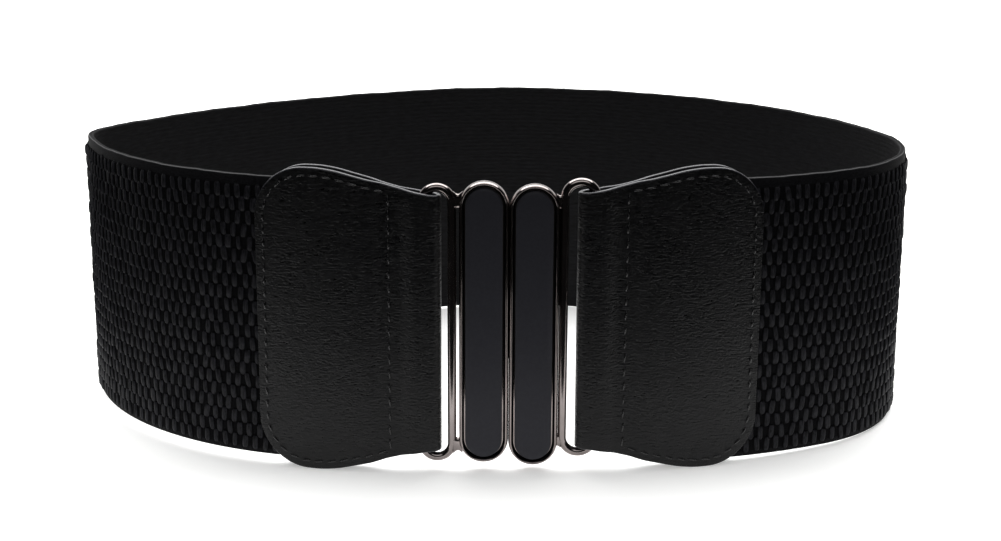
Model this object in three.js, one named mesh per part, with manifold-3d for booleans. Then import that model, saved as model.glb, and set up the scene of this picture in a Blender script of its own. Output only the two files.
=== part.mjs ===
// Wide elastic waist belt with leather tabs and a two-plate metal buckle, fastened and standing on edge.
// Millimetres, +X to the right of the buckle's front, +Y to the back of the waist, +Z up.
// The origin is the centre of the bounding box, on the surface that the belt stands on.

import * as THREE from "three";
import { mergeVertices } from "three/addons/utils/BufferGeometryUtils.js";
import Module from "manifold-3d";

const wasm = await Module();
wasm.setup();

// The loop, seen from above
const LOOP_LENGTH = 602; // round the middle of the web, fastened and not stretched
const STRAIGHT_MARGIN = 0.6; // straight stretch beyond the rings' outer bars

// Elastic web
const WEB_HEIGHT = 75;
const WEB_THICKNESS = 1.6; // at the plain selvedges
const WEB_RELIEF = 0.4; // the knitted field stands this much proud of the selvedges, on the outside
const SELVEDGE_WIDTH = 3;
const FIELD_SLOPE = 0.7; // height over which the relief rises
const WEB_EDGE_ROUND = 0.35; // softening of the band's corners
const WEB_TURN_STEP = 4.5; // largest turn of the loop between two sections, in degrees
const WEB_LENGTH_STEP = 14; // largest distance between two sections

// Leather tabs
const LEATHER = 1.2; // thickness of one leaf
const TAB_LENGTH = 47.4; // from the fold to the outer edge
const TAB_CORNER_RADIUS = 12.5; // rounded outer corners
const SEAM_FROM_FOLD = 14; // from the fold to the upright row of stitches
const WEB_TUCK = 21; // the web's reach into a tab, from the tab's outer edge
const PINCH_GAP = 0.4; // between the two leaves, where they are sewn together behind the ring's bar
const PINCH_SLOPE = 5; // length over which the leaves close and open again
const LEATHER_EDGE_ROUND = 0.35;

// Buckle plates
const PLATE_WIDTH = 12.5;
const PLATE_HEIGHT = 74.4;
const PLATE_THICKNESS = 3.6;
const PLATE_EDGE_ROUND = 0.7;
const PLATE_GAP = 0.3; // between the two plates
const RIM_WIDTH = 1.2;
const RECESS_DEPTH = 1.3;
const INLAY_CLEARANCE = 0.3; // round the inlay and behind it
const INLAY_CROWN = 0.5; // the inlay's middle stands this much proud of its edge
const INLAY_SLOPE = 1.6; // width over which the inlay rises to its middle

// Wire rings and the lugs that carry them
const WIRE = 2.3;
const RING_WIDTH = 9.9;
const RING_SHORT = 0.35; // a ring is this much shorter than its plate
const FOLD_SHORT = 6.4; // a tab's fold is this much shorter than its ring, to clear the ring's bends
const RING_GAP = 0.8; // between a ring and its plate
const LUG_HEIGHT = 3.4;
const LUG_THICKNESS = 1.6;
const LUG_FROM_END = 4.5; // from where both the plate and the ring have ended to the middle of a lug
const LUG_BITE = 0.8; // a lug's reach into the plate and into the wire

// Hidden clasp behind the plates
const CLASP_HEIGHT = 20;
const CLASP_THICKNESS = 1.2;
const CLASP_SPAN = 14; // over its two bent ends
const CLASP_BITE = 1.1; // depth of the bent ends in the plates
const CLEARANCE = 0.3; // running gap between pieces that lie against each other

// Turns of the loop, from the right end of the straight front stretch, seen from above and going
// counter-clockwise. A radius is a share of the loop's scale. The two long back sides have none: they and
// the scale are worked out so that the loop closes at its length. The last row takes the turn that is left.
const LOOP_ARCS = [
  { name: "right_front", turn: 28, radius: 1.3 },
  { name: "right_end", turn: 78.5, radius: 0.47 },
  { name: "right_back", turn: 69, radius: null },
  { name: "back_middle", turn: 23.5, radius: 0.65 },
  { name: "left_back", turn: 38, radius: null },
  { name: "left_end", turn: 50, radius: 0.148 },
  { name: "left_shoulder", turn: 57.5, radius: 0.84 },
  { name: "left_front", turn: null, radius: 1.39 },
];

// How the tabs widen from the fold outwards: along is a share of the tab's length, rise is a share of the
// widening on one side.
const TAB_OUTLINE = [
  { along: 0, rise: 0 },
  { along: 0.1, rise: 0.09 },
  { along: 0.22, rise: 0.28 },
  { along: 0.35, rise: 0.53 },
  { along: 0.46, rise: 0.73 },
  { along: 0.57, rise: 0.92 },
  { along: 0.69, rise: 1 },
  { along: 1, rise: 0.87 },
];

// Side is the sign of X. Flare is how much taller a tab is at its widest place than at its fold. The lifts
// are how far each piece sits above the middle of the web, a tab's at its fold and at its outer edge.
const SIDES = [
  { name: "left", side: -1, flare: 12.7, plateLift: 0.1, ringLift: -0.2, foldLift: 0, edgeLift: 0.7 },
  { name: "right", side: 1, flare: 12.1, plateLift: -0.6, ringLift: 1.3, foldLift: 0.9, edgeLift: 1.3 },
];

const CORNER_STEPS = 7; // in each rounded corner of a tab
const SLOPE_STEPS = 5; // where a tab's leaves close or open
const FLARE_STEPS = 5; // from there to the corners
const FOLD_STEPS = 8; // round the fold of a tab
const ROUND_STEPS = 16; // in half a turn of a plate's or a ring's end
const WIRE_SIDES = 12;
const BACK_LEAN = 0.01; // first guess of the standing belt's slope to the back
const STANDING_PASSES = 4;

const LEATHER_FINISH = { color: 0x1a1a1d, roughness: 0.48, metalness: 0 };
const WEB_FINISH = { color: 0x131316, roughness: 0.92, metalness: 0 };
const METAL_FINISH = { color: 0x57514f, roughness: 0.22, metalness: 1 };
const INLAY_FINISH = { color: 0x1c1c1e, roughness: 0.38, metalness: 0 };

const PLATE_X = (PLATE_GAP + PLATE_WIDTH) / 2;
const RING_X = PLATE_GAP / 2 + PLATE_WIDTH + RING_GAP + RING_WIDTH / 2;
const BAR_X = RING_X + RING_WIDTH / 2 - WIRE / 2; // the ring's outer bar, which carries the tab
const RING_HEIGHT = PLATE_HEIGHT - RING_SHORT;
const FOLD_HEIGHT = RING_HEIGHT - FOLD_SHORT;
const STRAIGHT_HALF = RING_X + RING_WIDTH / 2 + STRAIGHT_MARGIN;
const FOLD_HALF_GAP = WIRE / 2 + CLEARANCE;
const FOLD_X = BAR_X - WIRE - FOLD_HALF_GAP - LEATHER; // outer face of the fold
const SEAM_X = FOLD_X + SEAM_FROM_FOLD;
const WEB_END = FOLD_X + TAB_LENGTH - WEB_TUCK;
const WEB_MIDDLE = WEB_HEIGHT / 2;

/** Works out the turns and radii of the loop, so that it closes and has its length. */
function solveLoop() {
  const known = LOOP_ARCS.reduce((sum, arc) => sum + (arc.turn ?? 0), 0);
  const turns = LOOP_ARCS.map((arc) => THREE.MathUtils.degToRad(arc.turn ?? 360 - known));
  const columns = [];
  const scaled = new THREE.Vector3();
  let heading = 0;
  LOOP_ARCS.forEach((arc, i) => {
    const next = heading + turns[i];
    const reach = new THREE.Vector3(
      Math.sin(next) - Math.sin(heading),
      Math.cos(heading) - Math.cos(next),
      turns[i],
    );
    if (arc.radius === null) {
      columns.push(reach);
    } else {
      scaled.addScaledVector(reach, arc.radius);
    }
    heading = next;
  });
  const [a, b] = columns;
  const system = new THREE.Matrix3().set(a.x, b.x, scaled.x, a.y, b.y, scaled.y, a.z, b.z, scaled.z);
  const straight = 2 * STRAIGHT_HALF;
  const solved = new THREE.Vector3(-straight, 0, LOOP_LENGTH - straight).applyMatrix3(system.invert());
  const free = [solved.x, solved.y];
  return LOOP_ARCS.map((arc, i) => ({
    turn: turns[i],
    radius: arc.radius === null ? free.shift() : arc.radius * solved.z,
  }));
}

const loop = solveLoop();

/** Place and heading on the loop's middle line, at a distance along it from the buckle's middle. */
function loopPoint(distance) {
  let rest = THREE.MathUtils.euclideanModulo(distance, LOOP_LENGTH);
  if (rest > LOOP_LENGTH - STRAIGHT_HALF) {
    return { x: rest - LOOP_LENGTH, y: 0, heading: 2 * Math.PI };
  }
  if (rest <= STRAIGHT_HALF) {
    return { x: rest, y: 0, heading: 0 };
  }
  rest -= STRAIGHT_HALF;
  let [x, y, heading] = [STRAIGHT_HALF, 0, 0];
  for (const { turn, radius } of loop) {
    const length = turn * radius;
    const next = heading + Math.min(rest / radius, turn);
    x += radius * (Math.sin(next) - Math.sin(heading));
    y += radius * (Math.cos(heading) - Math.cos(next));
    heading = next;
    if (rest <= length) {
      break;
    }
    rest -= length;
  }
  return { x, y, heading };
}

/** A point at a distance along the loop, an offset to its outside and a height. */
function onLoop(distance, offset, z) {
  const { x, y, heading } = loopPoint(distance);
  return new THREE.Vector3(x + offset * Math.sin(heading), y - offset * Math.cos(heading), z);
}

/** A smooth step from 0 at the first value to 1 at the second. */
function ease(from, to, value) {
  return THREE.MathUtils.smoothstep(value, Math.min(from, to), Math.max(from, to));
}

/** Closed solid through sections that have the same number of points, open at its ends or joined up. */
function loft(sections, joined = false) {
  const count = sections[0].length;
  const positions = sections.flat().flatMap((point) => point.toArray());
  const index = [];
  const spans = joined ? sections.length : sections.length - 1;
  for (let i = 0; i < spans; i += 1) {
    const here = i * count;
    const there = ((i + 1) % sections.length) * count;
    for (let k = 0; k < count; k += 1) {
      const next = (k + 1) % count;
      index.push(here + k, here + next, there + next, here + k, there + next, there + k);
    }
  }
  if (!joined) {
    const last = (sections.length - 1) * count;
    for (const [a, b, c] of capFaces(sections[0])) {
      index.push(c, b, a);
    }
    for (const [a, b, c] of capFaces(sections[sections.length - 1])) {
      index.push(last + a, last + b, last + c);
    }
  }
  const geometry = new THREE.BufferGeometry();
  geometry.setAttribute("position", new THREE.Float32BufferAttribute(positions, 3));
  geometry.setIndex(index);
  return facingOut(geometry);
}

/** Triangles of a flat section, in the order of its points. */
function capFaces(section) {
  const centre = section.reduce((sum, point) => sum.add(point), new THREE.Vector3());
  centre.divideScalar(section.length);
  const normal = new THREE.Vector3();
  section.forEach((point, k) => {
    const next = section[(k + 1) % section.length];
    normal.add(point.clone().sub(centre).cross(next.clone().sub(centre)));
  });
  const upright = new THREE.Quaternion().setFromUnitVectors(normal.normalize(), new THREE.Vector3(0, 0, 1));
  const flat = section.map((point) => {
    const turned = point.clone().sub(centre).applyQuaternion(upright);
    return new THREE.Vector2(turned.x, turned.y);
  });
  return THREE.ShapeUtils.triangulateShape(flat, []);
}

/** The same geometry with its faces pointing out. */
function facingOut(geometry) {
  const place = geometry.getAttribute("position");
  const index = geometry.getIndex().array;
  const corner = (k) => new THREE.Vector3().fromBufferAttribute(place, index[k]);
  let volume = 0;
  for (let k = 0; k < index.length; k += 3) {
    volume += corner(k).dot(corner(k + 1).cross(corner(k + 2)));
  }
  if (volume < 0) {
    for (let k = 0; k < index.length; k += 3) {
      [index[k + 1], index[k + 2]] = [index[k + 2], index[k + 1]];
    }
  }
  return geometry;
}

/** Manifold solid of a closed geometry. */
function solid(geometry) {
  const bare = geometry.clone();
  bare.deleteAttribute("normal");
  bare.deleteAttribute("uv");
  const merged = mergeVertices(bare, 1e-4);
  return new wasm.Manifold(new wasm.Mesh({
    numProp: 3,
    vertProperties: new Float32Array(merged.getAttribute("position").array),
    triVerts: new Uint32Array(merged.getIndex().array),
  }));
}

/** Geometry of a manifold solid. */
function geometryOf(body) {
  const mesh = body.getMesh();
  const geometry = new THREE.BufferGeometry();
  geometry.setAttribute("position", new THREE.Float32BufferAttribute(mesh.vertProperties, 3));
  geometry.setIndex(new THREE.Uint32BufferAttribute(mesh.triVerts, 1));
  return geometry;
}

/** Named mesh with its own material. */
function piece(name, geometry, finish) {
  const shown = geometry.toNonIndexed();
  shown.computeVertexNormals();
  const mesh = new THREE.Mesh(shown, new THREE.MeshStandardMaterial({ ...finish, flatShading: true }));
  mesh.name = name;
  return mesh;
}

/** Section of the web at a distance along the loop, thin at its selvedges and proud between them. */
function webSection(distance) {
  const outer = WEB_THICKNESS / 2;
  const proud = outer + WEB_RELIEF;
  const top = WEB_HEIGHT;
  const fieldLow = SELVEDGE_WIDTH + FIELD_SLOPE;
  const outline = [
    [outer - WEB_EDGE_ROUND, 0],
    [outer, WEB_EDGE_ROUND],
    [outer, SELVEDGE_WIDTH],
    [proud, fieldLow],
    [proud, top - fieldLow],
    [outer, top - SELVEDGE_WIDTH],
    [outer, top - WEB_EDGE_ROUND],
    [outer - WEB_EDGE_ROUND, top],
    [WEB_EDGE_ROUND - outer, top],
    [-outer, top - WEB_EDGE_ROUND],
    [-outer, WEB_EDGE_ROUND],
    [WEB_EDGE_ROUND - outer, 0],
  ];
  return outline.map(([offset, z]) => onLoop(distance, offset, z));
}

/** Distances along the loop at which the web has a section. */
function webStations() {
  const last = LOOP_LENGTH - WEB_END;
  const stations = [WEB_END];
  let start = STRAIGHT_HALF;
  for (const { turn, radius } of loop) {
    const end = start + turn * radius;
    const turnSteps = THREE.MathUtils.radToDeg(turn) / WEB_TURN_STEP;
    const steps = Math.ceil(Math.max(turnSteps, (end - start) / WEB_LENGTH_STEP));
    for (let k = 1; k <= steps; k += 1) {
      const distance = start + ((end - start) * k) / steps;
      if (distance > WEB_END + CLEARANCE && distance < last - CLEARANCE) {
        stations.push(distance);
      }
    }
    start = end;
  }
  stations.push(last);
  return stations;
}

/** The elastic web, from one tab's pocket round the waist to the other's. */
function elasticWeb() {
  return piece("elastic_web", loft(webStations().map(webSection)), WEB_FINISH);
}

/** Half the height of a tab at a distance from the buckle's middle. */
function tabHalfHeight(distance, flare) {
  const along = THREE.MathUtils.clamp((distance - FOLD_X) / TAB_LENGTH, 0, 1);
  const last = TAB_OUTLINE.length - 1;
  const row = Math.min(last - 1, TAB_OUTLINE.findLastIndex((each) => each.along <= along));
  const [low, high] = [TAB_OUTLINE[row], TAB_OUTLINE[row + 1]];
  const slopeAt = (k) => {
    const before = TAB_OUTLINE[Math.max(0, k - 1)];
    const after = TAB_OUTLINE[Math.min(last, k + 1)];
    return (after.rise - before.rise) / (after.along - before.along);
  };
  const span = high.along - low.along;
  const t = (along - low.along) / span;
  const rise = low.rise * (1 + 2 * t) * (1 - t) ** 2
    + high.rise * t ** 2 * (3 - 2 * t)
    + span * (slopeAt(row) * t * (1 - t) ** 2 - slopeAt(row + 1) * t ** 2 * (1 - t));
  const full = (FOLD_HEIGHT + rise * flare) / 2;
  const past = distance - (FOLD_X + TAB_LENGTH - TAB_CORNER_RADIUS);
  if (past <= 0) {
    return full;
  }
  return full - TAB_CORNER_RADIUS + Math.sqrt(Math.max(0, TAB_CORNER_RADIUS ** 2 - past ** 2));
}

/** Half the space between a tab's leaves on one face of the loop, at a distance from the buckle's middle. */
function leafGap(distance, webFace) {
  const bar = BAR_X + WIRE / 2;
  const closed = THREE.MathUtils.lerp(FOLD_HALF_GAP, PINCH_GAP / 2, ease(bar, bar + PINCH_SLOPE, distance));
  return THREE.MathUtils.lerp(closed, webFace + CLEARANCE, ease(SEAM_X, SEAM_X + PINCH_SLOPE, distance));
}

/** Values from a start up to, but not including, an end. */
function spread(start, end, steps) {
  return Array.from({ length: steps }, (_, k) => start + ((end - start) * k) / steps);
}

/** Stations along a leaf, from the fold to its outer edge. */
function leafStations() {
  const start = FOLD_X + LEATHER + FOLD_HALF_GAP;
  const bar = BAR_X + WIRE / 2;
  const corner = FOLD_X + TAB_LENGTH - TAB_CORNER_RADIUS;
  return [
    ...spread(start, bar, 2),
    ...spread(bar, bar + PINCH_SLOPE, SLOPE_STEPS),
    ...spread(bar + PINCH_SLOPE, SEAM_X, 1),
    ...spread(SEAM_X, SEAM_X + PINCH_SLOPE, SLOPE_STEPS),
    ...spread(SEAM_X + PINCH_SLOPE, corner, FLARE_STEPS),
    ...spread(0, 1, CORNER_STEPS).map((share) => corner + TAB_CORNER_RADIUS * Math.sin(share * Math.PI / 2)),
    corner + TAB_CORNER_RADIUS,
  ];
}

/** A leather tab: one strip from the front leaf's edge, round the fold, to the back leaf's edge. */
function tab({ name, side, flare, foldLift, edgeLift }) {
  const outerFace = WEB_THICKNESS / 2 + WEB_RELIEF;
  const innerFace = WEB_THICKNESS / 2;
  const half = LEATHER / 2;
  const foldRadius = FOLD_HALF_GAP + half;
  const foldCentre = FOLD_X + half + foldRadius;
  const leaf = leafStations();
  const frontLeaf = leaf.map((distance) => ({ distance, offset: leafGap(distance, outerFace) + half }));
  const backLeaf = leaf.map((distance) => ({ distance, offset: -leafGap(distance, innerFace) - half }));
  const fold = [];
  for (let k = 1; k < FOLD_STEPS; k += 1) {
    const angle = (k / FOLD_STEPS) * Math.PI;
    fold.push({
      distance: foldCentre - foldRadius * Math.sin(angle),
      offset: foldRadius * Math.cos(angle),
    });
  }
  const path = [...frontLeaf.reverse(), ...fold, ...backLeaf];
  const sections = path.map((here, k) => {
    const before = path[Math.max(0, k - 1)];
    const after = path[Math.min(path.length - 1, k + 1)];
    const along = new THREE.Vector2(after.distance - before.distance, after.offset - before.offset);
    along.normalize();
    const tall = tabHalfHeight(here.distance, flare);
    const outward = (here.distance - FOLD_X) / TAB_LENGTH;
    const middle = WEB_MIDDLE + THREE.MathUtils.lerp(foldLift, edgeLift, outward);
    const [flat, round] = [half - LEATHER_EDGE_ROUND, tall - LEATHER_EDGE_ROUND];
    const outline = [
      [half, -round], [half, round], [flat, tall], [-flat, tall],
      [-half, round], [-half, -round], [-flat, -tall], [flat, -tall],
    ];
    return outline.map(([across, up]) => {
      const distance = here.distance - across * along.y;
      return onLoop(side * distance, here.offset + across * along.x, middle + up);
    });
  });
  return piece(`${name}_tab`, loft(sections), LEATHER_FINISH);
}

/** Points of an upright stadium round the origin, at one depth. */
function stadium(width, height, y) {
  const radius = width / 2;
  const reach = height / 2 - radius;
  const points = [];
  for (const end of [1, -1]) {
    for (let k = 0; k <= ROUND_STEPS; k += 1) {
      const angle = (k / ROUND_STEPS) * Math.PI;
      const x = end * radius * Math.cos(angle);
      points.push(new THREE.Vector3(x, y, end * (reach + radius * Math.sin(angle))));
    }
  }
  return points;
}

/** Stadium slab from its back to its front plane, whose front edge rises in a rounded slope. */
function slab({ width, height, back, front, slope = 0, rise = 0, steps = 0 }) {
  const sections = [stadium(width, height, back)];
  for (let k = 0; k <= steps; k += 1) {
    const angle = steps > 0 ? (k / steps) * (Math.PI / 2) : 0;
    const inset = 2 * slope * (1 - Math.cos(angle));
    sections.push(stadium(width - inset, height - inset, front + rise * (1 - Math.sin(angle))));
  }
  return loft(sections);
}

/** Box given by its lowest and highest corners. */
function block(low, high) {
  const size = high.map((value, k) => value - low[k]);
  const geometry = new THREE.BoxGeometry(...size);
  geometry.translate(...high.map((value, k) => (value + low[k]) / 2));
  return geometry;
}

/** Round wire bent to an upright stadium round the origin. */
function wireRing() {
  const radius = (RING_WIDTH - WIRE) / 2;
  const reach = RING_HEIGHT / 2 - RING_WIDTH / 2;
  const sections = [];
  for (const end of [1, -1]) {
    for (let k = 0; k <= ROUND_STEPS; k += 1) {
      const angle = (k / ROUND_STEPS) * Math.PI + (end > 0 ? 0 : Math.PI);
      const out = new THREE.Vector3(Math.cos(angle), 0, Math.sin(angle));
      const centre = out.clone().multiplyScalar(radius).add(new THREE.Vector3(0, 0, end * reach));
      const section = [];
      for (let j = 0; j < WIRE_SIDES; j += 1) {
        const turn = (j / WIRE_SIDES) * 2 * Math.PI;
        const point = centre.clone().addScaledVector(out, (WIRE / 2) * Math.cos(turn));
        section.push(point.setY((WIRE / 2) * Math.sin(turn)));
      }
      sections.push(section);
    }
  }
  return loft(sections, true);
}

/** Half of the buckle: rimmed plate, ring and lugs as one soldered solid. */
function buckleFrame({ name, side, plateLift, ringLift }) {
  const back = PLATE_THICKNESS / 2;
  const plateX = side * PLATE_X;
  const plateZ = WEB_MIDDLE + plateLift;
  const plate = slab({
    width: PLATE_WIDTH,
    height: PLATE_HEIGHT,
    back,
    front: -back,
    slope: PLATE_EDGE_ROUND,
    rise: PLATE_EDGE_ROUND,
    steps: 3,
  });
  const recess = slab({
    width: PLATE_WIDTH - 2 * RIM_WIDTH,
    height: PLATE_HEIGHT - 2 * RIM_WIDTH,
    back: RECESS_DEPTH - back,
    front: -PLATE_THICKNESS,
  });
  let body = solid(plate).subtract(solid(recess)).translate([plateX, 0, plateZ]);
  const ring = solid(wireRing()).translate([side * RING_X, 0, WEB_MIDDLE + ringLift]);
  body = body.add(ring);
  const join = PLATE_GAP / 2 + PLATE_WIDTH;
  const reach = [join - LUG_BITE, join + RING_GAP + LUG_BITE].map((x) => side * x).sort((a, b) => a - b);
  for (const end of [1, -1]) {
    const ends = [plateZ + (end * PLATE_HEIGHT) / 2, WEB_MIDDLE + ringLift + (end * RING_HEIGHT) / 2];
    const z = end * Math.min(...ends.map((value) => end * value)) - end * LUG_FROM_END;
    const low = [reach[0], -LUG_THICKNESS / 2, z - LUG_HEIGHT / 2];
    const high = [reach[1], LUG_THICKNESS / 2, z + LUG_HEIGHT / 2];
    body = body.add(solid(block(low, high)));
  }
  const endX = [CLASP_SPAN / 2 - CLASP_THICKNESS - CLEARANCE, CLASP_SPAN / 2 + CLEARANCE];
  const [pocketLow, pocketHigh] = endX.map((x) => side * x).sort((a, b) => a - b);
  const tall = CLASP_HEIGHT / 2 + CLEARANCE;
  const deep = back - CLASP_BITE - CLEARANCE;
  const pocket = block([pocketLow, deep, WEB_MIDDLE - tall], [pocketHigh, 2 * back, WEB_MIDDLE + tall]);
  body = body.subtract(solid(pocket));
  return piece(`${name}_buckle_frame`, geometryOf(body), METAL_FINISH);
}

/** Domed inlay in a plate's recess. */
function inlay({ name, side, plateLift }) {
  const less = 2 * (RIM_WIDTH + INLAY_CLEARANCE);
  const geometry = slab({
    width: PLATE_WIDTH - less,
    height: PLATE_HEIGHT - less,
    back: RECESS_DEPTH - PLATE_THICKNESS / 2 - INLAY_CLEARANCE,
    front: -PLATE_THICKNESS / 2 - INLAY_CROWN / 2,
    slope: INLAY_SLOPE,
    rise: INLAY_CROWN,
    steps: 4,
  });
  geometry.translate(side * PLATE_X, 0, WEB_MIDDLE + plateLift);
  return piece(`${name}_inlay`, geometryOf(solid(geometry)), INLAY_FINISH);
}

/** Flat strip behind the two plates, with its ends bent forward into them. */
function claspHook() {
  const half = CLASP_SPAN / 2;
  const inner = half - CLASP_THICKNESS;
  const near = PLATE_THICKNESS / 2 + CLEARANCE;
  const far = near + CLASP_THICKNESS;
  const tip = PLATE_THICKNESS / 2 - CLASP_BITE;
  const corners = [
    [-half, tip], [-inner, tip], [-inner, near], [inner, near],
    [inner, tip], [half, tip], [half, far], [-half, far],
  ];
  const shape = new THREE.Shape(corners.map(([x, y]) => new THREE.Vector2(x, y)));
  const geometry = new THREE.ExtrudeGeometry(shape, { depth: CLASP_HEIGHT, bevelEnabled: false });
  geometry.translate(0, 0, WEB_MIDDLE - CLASP_HEIGHT / 2);
  return piece("clasp_hook", geometryOf(solid(geometry)), METAL_FINISH);
}

const belt = new THREE.Group();
belt.add(elasticWeb());
for (const side of SIDES) {
  belt.add(tab(side), buckleFrame(side), inlay(side));
}
belt.add(claspHook());

/** The vertex of a mesh that lies lowest against a direction. */
function lowestVertex(name, direction) {
  const place = belt.getObjectByName(name).geometry.getAttribute("position");
  let best = new THREE.Vector3().fromBufferAttribute(place, 0);
  for (let k = 1; k < place.count; k += 1) {
    const vertex = new THREE.Vector3().fromBufferAttribute(place, k);
    best = vertex.dot(direction) < best.dot(direction) ? vertex : best;
  }
  return best;
}

// The tabs reach lower than the web, so the belt stands on the lowest points of both and on the web's back
// edge, tilted a little. Each pass finds the three feet again from the tilt of the pass before.
const upright = new THREE.Vector3(0, -BACK_LEAN, 1).normalize();
for (let pass = 0; pass < STANDING_PASSES; pass += 1) {
  const [left, right, back] = ["left_tab", "right_tab", "elastic_web"].map((name) => lowestVertex(name, upright));
  upright.crossVectors(right.sub(left), back.sub(left)).normalize();
}
belt.quaternion.setFromUnitVectors(upright, new THREE.Vector3(0, 0, 1));

const standing = new THREE.Group();
standing.add(belt);
const box = new THREE.Box3().setFromObject(standing, true);
belt.position.set(-(box.min.x + box.max.x) / 2, -(box.min.y + box.max.y) / 2, -box.min.z);

export default standing;
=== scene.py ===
"""Wide elastic waist belt, fastened and standing on its edge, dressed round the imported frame.

Lengths in the classes are millimetres in the belt's own level frame: the buckle's middle is at x = y = 0,
the band's lower edge at z = 0, +X to the right of the buckle's front and +Y to the back of the waist.
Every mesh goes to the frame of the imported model, in metres, by one matrix.
"""

from __future__ import annotations

import logging
import math
import random
from dataclasses import dataclass, field
from enum import Enum, IntEnum
from typing import Any, Sequence

import bpy
import numpy as np
from mathutils import Matrix, Vector

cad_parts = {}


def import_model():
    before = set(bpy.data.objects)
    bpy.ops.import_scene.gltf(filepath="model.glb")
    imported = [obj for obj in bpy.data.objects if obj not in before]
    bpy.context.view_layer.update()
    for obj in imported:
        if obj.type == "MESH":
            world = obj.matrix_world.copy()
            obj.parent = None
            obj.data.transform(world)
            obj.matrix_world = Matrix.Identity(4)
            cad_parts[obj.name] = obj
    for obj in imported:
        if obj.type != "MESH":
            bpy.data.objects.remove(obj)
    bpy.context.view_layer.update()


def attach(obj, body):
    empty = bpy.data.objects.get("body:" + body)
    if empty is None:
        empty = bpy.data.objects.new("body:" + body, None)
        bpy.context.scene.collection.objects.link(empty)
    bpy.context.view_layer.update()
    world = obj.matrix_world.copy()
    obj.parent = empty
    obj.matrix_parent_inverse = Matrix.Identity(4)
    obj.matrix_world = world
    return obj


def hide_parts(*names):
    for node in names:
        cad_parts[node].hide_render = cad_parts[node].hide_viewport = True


log = logging.getLogger("stretch_belt")

MM = 0.001
SEED = 26
MAP_NAME = "MillimetreMap"  # the meshes' map of distance along the belt and height, in millimetres

Inputs = dict[str | int, Any]  # a value, or another node's output to link, for inputs by name or number
Point = tuple[float, float, float]
Socket = bpy.types.NodeSocket

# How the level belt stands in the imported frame: the belt's direction that ends upright, and the shift in mm
STAND_UP = (-0.0102928, -0.0075389, 0.9999186)
STAND_SHIFT = (4.4717441, -76.027188, 1.7309427)

LOOP_LENGTH = 602.0
WEB_HEIGHT = 75.0
WEB_MIDDLE = WEB_HEIGHT / 2
WEB_HALF = 0.8  # half the thickness of the plain selvedges
FIELD_FACE = 1.2  # offset of the raised field's outer face in the frame
LEATHER = 1.2
CLEARANCE = 0.3
PLATE_WIDTH = 12.5
PLATE_HEIGHT = 74.4
PLATE_GAP = 0.3
WIRE = 2.3
RING_WIDTH = 9.9
RING_HEIGHT = 74.05
RING_GAP = 0.8
FOLD_SHORTER = 6.4  # how much lower the tab's fold is than the ring that it goes round
STRAIGHT_PAST_RING = 0.6  # how far the belt stays straight beyond its ring
RING_X = PLATE_GAP / 2 + PLATE_WIDTH + RING_GAP + RING_WIDTH / 2
BAR_X = RING_X + RING_WIDTH / 2 - WIRE / 2
FOLD_HALF_GAP = WIRE / 2 + CLEARANCE
FOLD_X = BAR_X - WIRE - FOLD_HALF_GAP - LEATHER
FOLD_HEIGHT = RING_HEIGHT - FOLD_SHORTER
STRAIGHT_HALF = RING_X + RING_WIDTH / 2 + STRAIGHT_PAST_RING


class Side(Enum):
    """Which half of the buckle, as the sign of X."""

    LEFT = -1
    RIGHT = 1

    @property
    def word(self) -> str:
        """The side's name in the node names."""
        return self.name.lower()


class Slot(Enum):
    """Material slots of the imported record."""

    ELASTIC = "knitted_elastic"
    LEATHER = "tab_leather"
    METAL = "gunmetal_plating"
    ENAMEL = "satin_black_enamel"


class BandPart(IntEnum):
    """Material numbers of the band's ground."""

    GROUND = 0
    LIT_LIP = 1  # the narrow bevel of the upper edge, in a lighter, glossier yarn: the lighter colour is a painted highlight
    # darker yarn colour of the ground between the floats, and of the floats' sides: painted shade
    SHADED = 2
    SELVEDGE = 3


class FloatPart(IntEnum):
    """Material numbers of the raised floats: the crest in a lighter yarn, the sides in a darker one, as
    painted light and shade.
    """

    LIT_CREST = 0
    SIDE = 1


class TabPart(IntEnum):
    """Material numbers of a leather tab."""

    FACE = 0
    EDGE = 1


@dataclass(frozen=True)
class Arc:
    """One arc of the loop: its turn in degrees and its radius as a share of the loop's scale."""

    turn: float | None
    radius: float | None


LOOP_ARCS = (
    Arc(28, 1.3),
    Arc(78.5, 0.47),
    Arc(69, None),
    Arc(23.5, 0.65),
    Arc(38, None),
    Arc(50, 0.148),
    Arc(57.5, 0.84),
    Arc(None, 1.39),
)


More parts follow.
